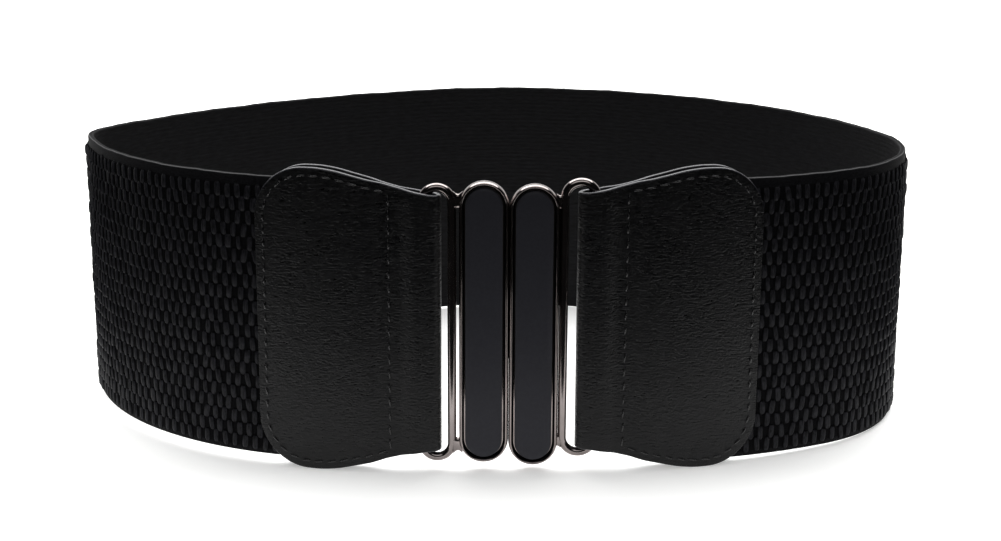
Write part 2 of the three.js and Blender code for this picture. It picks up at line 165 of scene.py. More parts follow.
class LoopPlan:
    """The belt's middle line seen from above, as a straight front stretch and tangent arcs."""

    def __init__(self, arcs: Sequence[Arc], length: float, straight_half: float) -> None:
        """Works out the free radii and the scale so that the loop closes at its length.

        Args:
            arcs: The arcs, counter-clockwise from the straight stretch's right end.
            length: Length of the whole loop.
            straight_half: Half the straight stretch at the front.
        """
        turned = sum(arc.turn or 0.0 for arc in arcs)
        turns = [math.radians(arc.turn if arc.turn is not None else 360 - turned) for arc in arcs]
        columns: list[np.ndarray] = []
        scaled = np.zeros(3)
        heading = 0.0
        for arc, turn in zip(arcs, turns):
            then = heading + turn
            reach = np.array([math.sin(then) - math.sin(heading), math.cos(heading) - math.cos(then), turn])
            if arc.radius is None:
                columns.append(reach)
            else:
                scaled += reach * arc.radius
            heading = then
        system = np.array([*columns, scaled]).T
        *free, scale = np.linalg.solve(system, [-2 * straight_half, 0.0, length - 2 * straight_half])
        rows = [(0.0, 0.0, 0.0, 0.0, 0.0)]
        start, x, y, heading = straight_half, straight_half, 0.0, 0.0
        for arc, turn in zip(arcs, turns):
            radius = free.pop(0) if arc.radius is None else arc.radius * scale
            rows.append((start, x, y, heading, 1 / radius))
            then = heading + turn
            x += radius * (math.sin(then) - math.sin(heading))
            y += radius * (math.cos(heading) - math.cos(then))
            heading = then
            start += radius * turn
        rows.append((start, x, y, heading, 0.0))
        self.length = length
        self.starts, self.xs, self.ys, self.headings, self.bends = np.array(rows).T

    def place(self, distance: Any, offset: Any, height: Any) -> np.ndarray:
        """Points at distances along the loop, offsets to its outside and heights.

        Args:
            distance: Distance from the buckle's middle, to the right.
            offset: Distance outwards from the middle line.
            height: Height above the band's lower edge.

        Returns:
            The points, with x, y and z on the last axis.
        """
        distance, offset, height = np.broadcast_arrays(
            np.asarray(distance, float), np.asarray(offset, float), np.asarray(height, float)
        )
        rest = np.mod(distance, self.length)
        row = np.searchsorted(self.starts, rest, side="right") - 1
        run = rest - self.starts[row]
        first, bend = self.headings[row], self.bends[row]
        turned = first + bend * run
        straight = bend == 0
        radius = 1 / np.where(straight, 1.0, bend)
        x = np.where(straight, run * np.cos(first), radius * (np.sin(turned) - np.sin(first)))
        y = np.where(straight, run * np.sin(first), radius * (np.cos(first) - np.cos(turned)))
        x = x + self.xs[row] + offset * np.sin(turned)
        y = y + self.ys[row] - offset * np.cos(turned)
        return np.stack((x, y, height), axis=-1)


def linear(code: str) -> tuple[float, float, float, float]:
    """Turns an sRGB hex colour to linear RGBA, by the curve of the sRGB standard.

    Args:
        code: Colour as six hex digits after a #.

    Returns:
        Linear red, green, blue and an alpha of one.
    """
    parts = [int(code[k:k + 2], 16) / 255 for k in (1, 3, 5)]
    red, green, blue = (v / 12.92 if v <= 0.04045 else ((v + 0.055) / 1.055) ** 2.4 for v in parts)
    return red, green, blue, 1.0


def add_node(
    tree: bpy.types.NodeTree,
    kind: str,
    settings: dict[str, Any] | None = None,
    inputs: Inputs | None = None,
) -> bpy.types.Node:
    """Adds a node with its settings and its inputs' values and links.

    Args:
        tree: The node tree.
        kind: The node's type name.
        settings: Properties of the node.
        inputs: A value, or another node's output to link, for each input by name or number.

    Returns:
        The new node.
    """
    node = tree.nodes.new(kind)
    for name, value in (settings or {}).items():
        setattr(node, name, value)
    for name, value in (inputs or {}).items():
        if isinstance(value, bpy.types.NodeSocket):
            tree.links.new(value, node.inputs[name])
        else:
            node.inputs[name].default_value = value
    return node


@dataclass(frozen=True)
class Finish:
    """A surface that is built as a node material."""

    name: str

    def surface(self, tree: bpy.types.NodeTree) -> Inputs:
        """Adds the nodes that make the surface. Each finish has its own.

        Args:
            tree: The material's node tree.

        Returns:
            The shader's inputs that aren't left as they are.
        """
        raise NotImplementedError

    def skin(
        self,
        tree: bpy.types.NodeTree,
        relief: tuple[Socket, float, float],
        tint: tuple[Socket, tuple[float, str], tuple[float, str]] | None = None,
        gloss: tuple[Socket, float, float] | None = None,
        span: tuple[float, float] = (0.0, 1.0),
    ) -> Inputs:
        """Adds what the finishes end in: relief, tint and gloss, each led by a pattern.

        Args:
            tree: The material's node tree.
            relief: The pattern that lifts the surface, the bump's strength, and its depth in millimetres.
            tint: The pattern that colours it, and the pattern's values for two colours.
            gloss: The pattern that dulls it, and the roughness at its lowest and highest value.
            span: That lowest and highest value.

        Returns:
            The shader's inputs that they lead to.
        """
        pattern, strength, depth = relief
        bump = add_node(tree, "ShaderNodeBump", inputs={
            "Height": pattern, "Strength": strength, "Distance": depth * MM,
        })
        found: Inputs = {"Normal": bump.outputs["Normal"]}
        if tint:
            pattern, *colours = tint
            ramp = add_node(tree, "ShaderNodeValToRGB", inputs={"Fac": pattern})
            for stop, (position, colour) in zip(ramp.color_ramp.elements, colours):
                stop.position, stop.color = position, linear(colour)
            found["Base Color"] = ramp.outputs["Color"]
        if gloss:
            pattern, low, high = gloss
            dulled = add_node(tree, "ShaderNodeMapRange", inputs={
                "Value": pattern, "From Min": span[0], "From Max": span[1], "To Min": low, "To Max": high,
            })
            found["Roughness"] = dulled.outputs["Result"]
        return found

    def build(self) -> bpy.types.Material:
        """Builds the node material.

        Returns:
            The material.
        """
        material = bpy.data.materials.new(self.name)
        material.use_nodes = True
        tree = material.node_tree
        tree.nodes.clear()
        shader = add_node(tree, "ShaderNodeBsdfPrincipled", inputs=self.surface(tree))
        add_node(tree, "ShaderNodeOutputMaterial", inputs={"Surface": shader.outputs["BSDF"]})
        return material


@dataclass(frozen=True)
class PlatedZinc(Finish):
    """Die-cast zinc, polished and plated with black nickel.

    The polish keeps reflections sharp. The thin dark plating makes them a warm dark grey, and the buffing
    leaves very fine lines that widen the highlights a little along the wire.
    """

    name: str = "black_nickel_plated_zinc_polished"
    plate: str = "#847c7a"
    thin_plate: str = "#958d8b"  # where the plating wore thinner
    roughness: float = 0.13
    gloss_spread: tuple[float, float] = (0.8, 1.25)  # shares of the roughness between clouds
    buffing_pitch: float = 0.09  # in mm; real lines are finer: drawn this coarse so that they show
    buffing_ends: float = 60.0  # ends of lines in a metre of the plate's height
    buffing_depth: float = 0.02
    buffing_strength: float = 0.06
    cloud_size: float = 7.0

    def surface(self, tree: bpy.types.NodeTree) -> Inputs:
        """Adds the plating's clouds and the buffing's lines.

        Args:
            tree: The material's node tree.

        Returns:
            The shader's inputs.
        """
        place = add_node(tree, "ShaderNodeTexCoord")
        cloud = add_node(tree, "ShaderNodeTexNoise", inputs={
            "Vector": place.outputs["Object"], "Scale": 1 / (self.cloud_size * MM), "Detail": 3.0,
        })
        lines = add_node(tree, "ShaderNodeMapping", inputs={
            "Vector": place.outputs["Object"],
            "Scale": (1 / (self.buffing_pitch * MM),) * 2 + (self.buffing_ends,),
        })
        buffing = add_node(tree, "ShaderNodeTexNoise", inputs={
            "Vector": lines.outputs["Vector"], "Scale": 1.0, "Detail": 2.0,
        })
        low, high = self.gloss_spread
        return self.skin(
            tree,
            relief=(buffing.outputs["Fac"], self.buffing_strength, self.buffing_depth),
            tint=(cloud.outputs["Fac"], (0.35, self.plate), (0.7, self.thin_plate)),
            gloss=(cloud.outputs["Fac"], self.roughness * low, self.roughness * high),
        ) | {"Metallic": 1.0}


@dataclass(frozen=True)
class BakedEnamel(Finish):
    """Satin black stoving enamel, sprayed and baked on the inlay.

    Baking leaves a faint orange peel about 0.8 mm wide, which softens what it reflects to an even grey.
    """

    name: str = "satin_black_stoving_enamel"
    coat: str = "#303036"
    coat_thin: str = "#34343a"
    roughness: float = 0.48
    gloss_spread: tuple[float, float] = (-0.03, 0.04)
    shine: float = 0.2
    peel: float = 0.8
    peel_depth: float = 0.02
    peel_strength: float = 0.12
    ior: float = 1.5

    def surface(self, tree: bpy.types.NodeTree) -> Inputs:
        """Adds the orange peel.

        Args:
            tree: The material's node tree.

        Returns:
            The shader's inputs.
        """
        place = add_node(tree, "ShaderNodeTexCoord")
        peel = add_node(tree, "ShaderNodeTexNoise", inputs={
            "Vector": place.outputs["Object"], "Scale": 1 / (self.peel * MM), "Detail": 1.0,
        })
        low, high = self.gloss_spread
        return self.skin(
            tree,
            relief=(peel.outputs["Fac"], self.peel_strength, self.peel_depth),
            tint=(peel.outputs["Fac"], (0.3, self.coat), (0.75, self.coat_thin)),
            gloss=(peel.outputs["Fac"], self.roughness + low, self.roughness + high),
        ) | {"IOR": self.ior, "Specular IOR Level": self.shine}


@dataclass(frozen=True)
class PigmentedLeather(Finish):
    """Black pigmented cowhide, embossed and pressed.

    Pressing leaves fine wrinkles that run along the belt, about 1.9 mm long and 0.45 mm apart, and pores.
    The pigment coat gives them a soft satin light.
    """

    name: str = "pigmented_cowhide_pressed"
    coat: str = "#030304"
    coat_worn: str = "#0b0b0e"
    roughness: float = 0.31
    gloss_spread: float = 0.1
    shine: float = 0.3
    wrinkle_length: float = 1.9
    wrinkle_pitch: float = 0.45
    pore: float = 0.5  # real pores are about 0.2 mm apart: drawn this coarse so that they show
    pore_share: float = 0.5  # of the grain's height, next to the wrinkles
    cloud: float = 9.0
    cloud_share: float = 0.5
    grain_depth: float = 0.18
    ior: float = 1.5

    def surface(self, tree: bpy.types.NodeTree) -> Inputs:
        """Adds the wrinkles, the pores and the clouds of gloss.

        Args:
            tree: The material's node tree.

        Returns:
            The shader's inputs.
        """
        place = add_node(tree, "ShaderNodeUVMap", {"uv_map": MAP_NAME})
        stretched = add_node(tree, "ShaderNodeMapping", inputs={
            "Vector": place.outputs["UV"], "Scale": (1 / self.wrinkle_length, 1 / self.wrinkle_pitch, 1.0),
        })
        wrinkles = add_node(tree, "ShaderNodeTexNoise", inputs={
            "Vector": stretched.outputs["Vector"], "Scale": 1.0, "Detail": 3.0, "Roughness": 0.55,
            "Distortion": 0.6,
        })
        pores = add_node(tree, "ShaderNodeTexVoronoi", inputs={
            "Vector": place.outputs["UV"], "Scale": 1 / self.pore,
        })
        cloud = add_node(tree, "ShaderNodeTexNoise", inputs={
            "Vector": place.outputs["UV"], "Scale": 1 / self.cloud, "Detail": 2.0,
        })
        grain, mixed = (
            add_node(tree, "ShaderNodeMath", {"operation": "MULTIPLY_ADD"}, {
                0: pattern, 1: share, 2: wrinkles.outputs["Fac"],
            })
            for pattern, share in (
                (pores.outputs["Distance"], self.pore_share), (cloud.outputs["Fac"], self.cloud_share)
            )
        )
        low, high = self.roughness - self.gloss_spread, self.roughness + self.gloss_spread
        return self.skin(
            tree,
            relief=(grain.outputs["Value"], 1.0, self.grain_depth),
            tint=(wrinkles.outputs["Fac"], (0.34, self.coat), (0.68, self.coat_worn)),
            gloss=(mixed.outputs["Value"], low, high),
            span=(0.4, 1.1),
        ) | {"IOR": self.ior, "Specular IOR Level": self.shine}


@dataclass(frozen=True)
class PaintedEdge(Finish):
    """Cut leather edge, sanded and painted black by roller.

    It dries to a rounded glossy bead. Its colour is lighter than the leather's: a painted highlight that
    shows as a thin light line along the tabs.
    """

    name: str = "rolled_edge_paint_with_painted_highlight"
    # lighter than the black leather: painted highlight along the edges
    paint_and_highlight: str = "#303035"
    roughness: float = 0.24
    gloss_spread: tuple[float, float] = (-0.06, 0.1)
    ripple: float = 1.6
    ripple_depth: float = 0.08
    ripple_strength: float = 0.25
    ior: float = 1.52

    def surface(self, tree: bpy.types.NodeTree) -> Inputs:
        """Adds the roller's ripple.

        Args:
            tree: The material's node tree.

        Returns:
            The shader's inputs.
        """
        place = add_node(tree, "ShaderNodeTexCoord")
        ripple = add_node(tree, "ShaderNodeTexNoise", inputs={
            "Vector": place.outputs["Object"], "Scale": 1 / (self.ripple * MM), "Detail": 2.0,
        })
        low, high = self.gloss_spread
        return self.skin(
            tree,
            relief=(ripple.outputs["Fac"], self.ripple_strength, self.ripple_depth),
            gloss=(ripple.outputs["Fac"], self.roughness + low, self.roughness + high),
        ) | {"Base Color": linear(self.paint_and_highlight), "IOR": self.ior}


@dataclass(frozen=True)
class BondedThread(Finish):
    """Black bonded polyester sewing thread, twisted.

    Its plies turn about every 0.35 mm, and the bonding resin gives it small bright glints.
    """

    name: str = "bonded_polyester_thread_twisted"
    yarn: str = "#121214"
    roughness: float = 0.27
    ply: float = 0.35
    wave_period: float = 0.314  # how far apart the wave texture's bands are at a scale of 1
    ply_depth: float = 0.06
    ply_strength: float = 0.5
    ior: float = 1.55

    def surface(self, tree: bpy.types.NodeTree) -> Inputs:
        """Adds the thread's plies.

        Args:
            tree: The material's node tree.

        Returns:
            The shader's inputs.
        """
        place = add_node(tree, "ShaderNodeUVMap", {"uv_map": MAP_NAME})
        plies = add_node(tree, "ShaderNodeTexWave", {"wave_type": "BANDS", "bands_direction": "DIAGONAL"}, {
            "Vector": place.outputs["UV"], "Scale": self.wave_period / self.ply, "Distortion": 0.4,
        })
        constant = {"Base Color": linear(self.yarn), "Roughness": self.roughness, "IOR": self.ior}
        return self.skin(tree, relief=(plies.outputs["Fac"], self.ply_strength, self.ply_depth)) | constant


@dataclass(frozen=True)
class ElasticYarn(Finish):
    """Black textured polyester yarn, knitted over covered rubber threads.

    The filaments lie side by side, so each face is matt. A noise along the yarn tints it between a dark and a
    lighter
    colour: partly the filaments' uneven tone, partly a painted sheen, as faint silky lines. Real filaments
    are about
    0.03 mm thick: they are drawn as coarse as the two lengths below, so that they show.
    """

    yarn: str
    lighter_yarn_and_sheen: str
    along: float  # length of a streak of the lighter tint, which is partly painted sheen, along the belt
    across: float  # the same, up the belt
    roughness: float = 0.72
    shine: float = 0.16  # loose filaments shade each other, so little of the light comes back as a gloss
    depth: float = 0.09
    strength: float = 0.55
    ior: float = 1.5

    def surface(self, tree: bpy.types.NodeTree) -> Inputs:
        """Adds the filaments.

        Args:
            tree: The material's node tree.

        Returns:
            The shader's inputs.
        """
        place = add_node(tree, "ShaderNodeUVMap", {"uv_map": MAP_NAME})
        stretched = add_node(tree, "ShaderNodeMapping", inputs={
            "Vector": place.outputs["UV"], "Scale": (1 / self.along, 1 / self.across, 1.0),
        })
        filaments = add_node(tree, "ShaderNodeTexNoise", inputs={
            "Vector": stretched.outputs["Vector"], "Scale": 1.0, "Detail": 2.0, "Roughness": 0.6,
        })
        return self.skin(
            tree,
            relief=(filaments.outputs["Fac"], self.strength, self.depth),
            tint=(filaments.outputs["Fac"], (0.32, self.yarn), (0.72, self.lighter_yarn_and_sheen)),
        ) | {"Roughness": self.roughness, "IOR": self.ior, "Specular IOR Level": self.shine}


# Yarn of the floats' crests, lighter than the yarn of their sides: painted light
LIT_CREST_YARN = ElasticYarn(
    "polyester_yarn_float_crests_painted_lit", "#09090b", "#2c2c31", 0.42, 1.7, roughness=0.5, shine=0.12, depth=0.2
)
BAND_YARNS = {
    BandPart.GROUND: ElasticYarn(
        "polyester_elastic_ground_knit", "#060607", "#161618", 3.0, 0.6, shine=0.15, depth=0.25
    ),
    # The upper edge's bevel in a lighter yarn colour: painted highlight
    BandPart.LIT_LIP: ElasticYarn(
        "selvedge_lip_painted_highlight", "#101012", "#1c1c1f", 0.9, 0.3, roughness=0.5, shine=0.22
    ),
    # The yarn between the floats is darker than the selvedges' plain yarn: painted shade of the floats
    BandPart.SHADED: ElasticYarn("ground_yarn_painted_shade", "#040405", "#0f0f11", 0.5, 0.3, shine=0.05),
    BandPart.SELVEDGE: ElasticYarn("polyester_yarn_selvedge", "#08080a", "#18181b", 0.9, 0.5, shine=0.1),
}


@dataclass(frozen=True)
class MattCard(Finish):
    """Matt painted card of the studio, which light may come through."""

    colour: str
    glow: float = 0.0
    roughness: float = 0.9
    shine: float = 0.1

    def surface(self, tree: bpy.types.NodeTree) -> Inputs:
        """Needs no node besides the shader.

        Args:
            tree: The material's node tree.

        Returns:
            The shader's inputs.
        """
        coat = linear(self.colour)
        return {
            "Base Color": coat,
            "Roughness": self.roughness,
            "Specular IOR Level": self.shine,
            "Emission Color": coat,
            "Emission Strength": self.glow,
        }


@dataclass
class Shell:
    """Vertices, faces and the map of a mesh in millimetres, before it goes to the frame."""

    points: np.ndarray
    faces: list[tuple[int, ...]]
    spots: np.ndarray  # distance along the belt and height of each vertex
    finish_of: list[int] = field(default_factory=list)  # a material number for each face, if not all 0


def loft(sections: np.ndarray, spots: np.ndarray | None = None, joined: bool = False) -> Shell:
    """Makes a closed shell through rings of points.

    Args:
        sections: Points as an array of ring, point and coordinate.
        spots: Map values as an array of ring, point and two numbers.
        joined: The last ring joins up with the first, instead of both being capped.

    Returns:
        The shell.
    """
    rings, count = sections.shape[:2]
    faces: list[tuple[int, ...]] = []
    for i in range(rings if joined else rings - 1):
        here, there = i * count, ((i + 1) % rings) * count
        for k in range(count):
            then = (k + 1) % count
            faces.append((here + k, here + then, there + then, there + k))
    if not joined:
        last = (rings - 1) * count
        faces.append(tuple(range(count - 1, -1, -1)))
        faces.append(tuple(range(last, last + count)))
    flat = sections.reshape(-1, 3)
    return Shell(flat, faces, flat[:, [0, 2]] if spots is None else spots.reshape(-1, 2))


def joined_shells(shells: Sequence[Shell]) -> Shell:
    """Makes one shell that holds several.

    Args:
        shells: The shells.

    Returns:
        The joined shell.
    """
    faces: list[tuple[int, ...]] = []
    start = 0
    for shell in shells:
        faces.extend(tuple(start + k for k in face) for face in shell.faces)
        start += len(shell.points)
    points = np.concatenate([shell.points for shell in shells])
    return Shell(points, faces, np.concatenate([shell.spots for shell in shells]))


def stand_matrix() -> Matrix:
    """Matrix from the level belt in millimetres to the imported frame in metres."""
    turn = Vector(STAND_UP).rotation_difference(Vector((0, 0, 1))).to_matrix().to_4x4()
    return Matrix.Scale(MM, 4) @ Matrix.Translation(STAND_SHIFT) @ turn


def make_piece(
    name: str,
    shell: Shell,
    materials: Sequence[bpy.types.Material],
    nodes: Sequence[str] = (),
    crease: float = 50.0,
) -> bpy.types.Object:
    """Makes a scene object of a shell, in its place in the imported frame.

    Args:
        name: The piece's name.
        shell: The shell in millimetres.
        materials: Its materials.
        nodes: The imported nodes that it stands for.
        crease: Faces that meet at more than this angle, in degrees, stay crisp.

    Returns:
        The new object.
    """
    mesh = bpy.data.meshes.new(name)
    stand = np.array(stand_matrix())
    placed = shell.points @ stand[:3, :3].T + stand[:3, 3]
    mesh.from_pydata(placed.tolist(), [], shell.faces)
    layer = mesh.uv_layers.new(name=MAP_NAME)
    corners = np.empty(len(mesh.loops), np.int32)
    mesh.loops.foreach_get("vertex_index", corners)
    layer.uv.foreach_set("vector", shell.spots[corners].astype(np.float32).ravel())
    for material in materials:
        mesh.materials.append(material)
    if shell.finish_of:
        mesh.polygons.foreach_set("material_index", np.array(shell.finish_of, np.int32))
    mesh.validate()
    if signed_volume(mesh) < 0:
        mesh.flip_normals()
    mesh.shade_smooth()
    mesh.set_sharp_from_angle(angle=math.radians(crease))
    piece = bpy.data.objects.new(name, mesh)
    bpy.context.scene.collection.objects.link(piece)
    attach(piece, "root")
    if nodes:
        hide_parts(*nodes)
    log.info("%s: %d faces", name, len(mesh.polygons))
    return piece


def unit(steps: np.ndarray) -> np.ndarray:
    """Vectors in rows, each brought to a length of one."""
    return steps / np.linalg.norm(steps, axis=1)[:, None]


def signed_volume(mesh: bpy.types.Mesh) -> float:
    """Volume that a mesh encloses.

    Args:
        mesh: The mesh.

    Returns:
        The volume, below zero where the faces point inwards.
    """
    mesh.calc_loop_triangles()
    corners = np.empty(len(mesh.loop_triangles) * 3, np.int32)
    mesh.loop_triangles.foreach_get("vertices", corners)
    points = np.empty(len(mesh.vertices) * 3, np.float32)
    mesh.vertices.foreach_get("co", points)
    a, b, c = np.moveaxis(points.reshape(-1, 3)[corners].reshape(-1, 3, 3), 1, 0)
    return float((a * np.cross(b, c)).sum() / 6)


def smooth_step(low: float, high: float, value: Any) -> np.ndarray:
    """A smooth step from 0 at the first value to 1 at the second."""
    share = np.clip((np.asarray(value, float) - low) / (high - low), 0, 1)
    return share * share * (3 - 2 * share)


def waves(value: Any, lengths: Sequence[float], draws: random.Random) -> np.ndarray:
    """Sum of slow waves of even strength, from -1 to 1.

    Args:
        value: Where to take them.
        lengths: Their wavelengths.
        draws: Random draws for their starts.

    Returns:
        The waves at those values.
    """
    total = np.zeros_like(np.asarray(value, float))
    for length in lengths:
        total += np.sin(2 * math.pi * (np.asarray(value) / length + draws.random()))
    return total / len(lengths)


# A float's rings: height as a share of half its length, then shares of its width and of its height.
FLOAT_RINGS = np.array([
    (-1.0, 0.3, 0.1),
    (-0.86, 0.68, 0.6),
    (-0.58, 0.97, 0.92),
    (0.0, 1.0, 1.0),
    (0.58, 0.97, 0.92),
    (0.86, 0.68, 0.6),
    (1.0, 0.3, 0.1),
])
# Its section: shares of half its width and of its height. The third point is the crest.
FLOAT_SECTION = np.array([(-1.0, -0.25), (-0.6, 0.5), (0.05, 1.0), (0.6, 0.45), (1.0, -0.25)])


@dataclass
class ElasticBand:
    """The knitted elastic band, from one tab's pocket round the waist to the other's."""

    plan: LoopPlan
    end: float = 43.65  # where the band starts in its pocket, from the buckle's middle
    station: float = 3.0
    edge_round: float = 0.4
    edge_bevel: float = 0.3  # where the rounding's middle point lies, as a share of it
    ground_face: float = 0.92  # offset of the outer face between the raised floats
    field_low: float = 1.5
    field_high: float = 72.4
    field_slope: float = 0.5  # height over which the field rises from the selvedge
    field_steps: int = 15
    rib_pitch: float = 1.3  # of the fine ribs inside
    rib_depth: float = 0.09
    rib_steps: int = 4
    float_pitch: float = 2.95  # along the belt
    row_pitch: float = 3.38  # up the belt, every other row half a pitch along
    first_row: float = 3.0
    rows: int = 21
    float_width: float = 2.5
    float_length: float = 4.1
    float_height: float = 0.66
    field_start: float = 57.0  # the floats under the tabs beyond this are hidden
    edge_wave: float = 0.16
    wave_lengths: tuple[float, ...] = (17.0, 29.0, 7.3)
    wave_fade: int = 8  # how fast the wave dies away below the upper edge
    # How unevenly the knit lies, as standard deviations: places in mm, the slant, and shares of the sizes
    uneven_along: float = 0.15
    uneven_up: float = 0.11
    uneven_slant: float = 0.08
    uneven_width: float = 0.08
    uneven_length: float = 0.03
    uneven_height: float = 0.14

    def section(self) -> np.ndarray:
        """Line round the band's section.

        Returns:
            Offset and height of each point, up the outer face and down the ribbed inner one.
        """
        half, low, high = WEB_HALF, 0.0, WEB_HEIGHT
        turn, bevel = self.edge_round, self.edge_bevel * self.edge_round
        outer = [(half - turn, low), (half - bevel, low + bevel), (half, low + turn)]
        outer += [(half, self.field_low - self.field_slope)]
        levels = np.linspace(self.field_low, self.field_high, self.field_steps + 1)
        outer += [(self.ground_face, z) for z in levels]
        outer += [(half, self.field_high + self.field_slope), (half, high - turn)]
        outer += [(half - bevel, high - bevel), (half - turn, high)]
        steps = int((high - 2 * turn) / self.rib_pitch) * self.rib_steps
        inner = [(turn - half, high)]
        for z in np.linspace(high - turn, low + turn, steps + 1):
            wave = 0.5 - 0.5 * math.cos(2 * math.pi * (high - turn - z) / self.rib_pitch)
            inner.append((self.rib_depth * wave - half, z))
        inner.append((turn - half, low))
        return np.array(outer + inner)

    def base(self) -> Shell:
        """The band's ground, with plain selvedges, a bevelled upper edge and fine ribs inside.

        Returns:
            The shell, with each face's part of the band.
        """
        draws = random.Random(SEED)
        outline = self.section()
        first, last = self.end, self.plan.length - self.end
        stations = np.linspace(first, last, int((last - first) / self.station) + 1)
        rise = self.edge_wave * waves(stations, self.wave_lengths, draws)
        offset = np.broadcast_to(outline[:, 0], (len(stations), len(outline)))
        height = outline[:, 1] + rise[:, None] * (outline[:, 1] / WEB_HEIGHT) ** self.wave_fade
        distance = np.broadcast_to(stations[:, None], offset.shape)
        spots = np.stack((distance, height), axis=-1)
        shell = loft(self.plan.place(distance, offset, height), spots)
        # The bevel of the upper edge, and the points of the outer face
        lip_from, lip_low = WEB_HALF - 1.1 * self.edge_round, WEB_HEIGHT - 0.5 * self.edge_round
        top = (outline[:, 1] > lip_low) & (outline[:, 0] > lip_from)
        outer = outline[:, 0] > 0.6 * WEB_HALF
        outside = outer & np.roll(outer, -1)
        selvedge = (outline[:, 1] >= self.field_high) | (outline[:, 1] < self.field_low)
        # Outer faces between the floats take the darker yarn, a painted shade; the selvedges keep their plain
        # yarn
        finish = np.where(outside, np.where(selvedge, BandPart.SELVEDGE, BandPart.SHADED), BandPart.GROUND)
        # Faces round the upper edge take the darker yarn, a painted shade, and the bevel between them the
        # lighter one, a painted highlight
        finish[top] = BandPart.SHADED
        finish[top & np.roll(top, -1)] = BandPart.LIT_LIP
        ends = [BandPart.GROUND, BandPart.GROUND]
        shell.finish_of = [*np.tile(finish, len(stations) - 1).tolist(), *ends]
        return shell

    def one_float(self) -> tuple[Shell, list[int]]:
        """A raised float round the origin.

        Returns:
            The float, with its points as along, up and out, and the part that each of its faces is: the crest
            with painted light, or a side with painted shade.
        """
        (ups, width, crown), (across, out) = FLOAT_RINGS.T, FLOAT_SECTION.T
        points = (
            width[:, None] * across * self.float_width / 2,
            np.broadcast_to(ups[:, None] * self.float_length / 2, (len(ups), len(across))),
            crown[:, None] * out * self.float_height,
        )
        last_ring, crest = len(ups) - 2, int(np.argmax(out))
        # The two middle strips get the lighter crest yarn, the sides and ends the darker one: painted light
        # and shade
        parts = [
            FloatPart.LIT_CREST if 0 < ring < last_ring and strip in (crest - 1, crest) else FloatPart.SIDE
            for ring in range(len(ups) - 1) for strip in range(len(across))
        ]
        return loft(np.stack(points, axis=-1)), [*parts, FloatPart.SIDE, FloatPart.SIDE]

    def floats(self, rows: Sequence[int]) -> Shell:
        """The raised floats of some rows, as one mesh of many small closed forms.

        Args:
            rows: Numbers of the rows, from the lowest.

        Returns:
            The shell.
        """
        form, parts = self.one_float()
        draws = np.random.default_rng(SEED + rows[0])
        last = self.plan.length - self.field_start
        count = int((last - self.field_start) / self.float_pitch)
        columns, levels = np.meshgrid(np.arange(count), np.array(rows))
        along = self.field_start + self.float_pitch * (columns + 0.5 * (levels % 2))
        up = self.first_row + self.row_pitch * levels
        total = along.size
        along = along.ravel() + draws.normal(0, self.uneven_along, total)
        up = up.ravel() + draws.normal(0, self.uneven_up, total)
        slant = draws.normal(0, self.uneven_slant, total)
        wide = 1 + draws.normal(0, self.uneven_width, total)
        tall = 1 + draws.normal(0, self.uneven_length, total)
        proud = 1 + draws.normal(0, self.uneven_height, total)
        x, z, out = form.points.T
        distance = along[:, None] + (x * wide[:, None] + z * slant[:, None])
        height = up[:, None] + z * tall[:, None]
        points = self.plan.place(distance, self.ground_face + out * proud[:, None], height).reshape(-1, 3)
        spots = np.stack((distance, height), axis=-1).reshape(-1, 2)
        faces = [tuple(k * len(x) + corner for corner in face) for k in range(total) for face in form.faces]
        return Shell(points, faces, spots, parts * total)

    def build(self) -> bpy.types.Object:
        """Builds and dresses the band and its floats.

        Returns:
            The band's ground, which the floats go with.
        """
        yarns = {part: yarn.build() for part, yarn in BAND_YARNS.items()}
        ground = make_piece(
            "elastic_band_ground", self.base(), list(yarns.values()), ["elastic_web"], crease=60
        )
        # The crests' lighter yarn and, for the sides, the darker yarn between the floats: painted light and
        # shade
        knit = [LIT_CREST_YARN.build(), yarns[BandPart.SHADED]]
        split = self.rows // 2
        lower = make_piece("elastic_floats_lower", self.floats(range(split)), knit, crease=80)
        upper = make_piece(
            "elastic_floats_upper", self.floats(range(split, self.rows)), knit, crease=80
        )
        return ground


# How the tabs widen from the fold outwards: share of the tab's length, share of the widening on one side
TAB_OUTLINE = np.array([
    (0.0, 0.0),
    (0.1, 0.09),
    (0.22, 0.28),
    (0.35, 0.53),
    (0.46, 0.73),
    (0.57, 0.92),
    (0.69, 1.0),
    (1.0, 0.87),
])


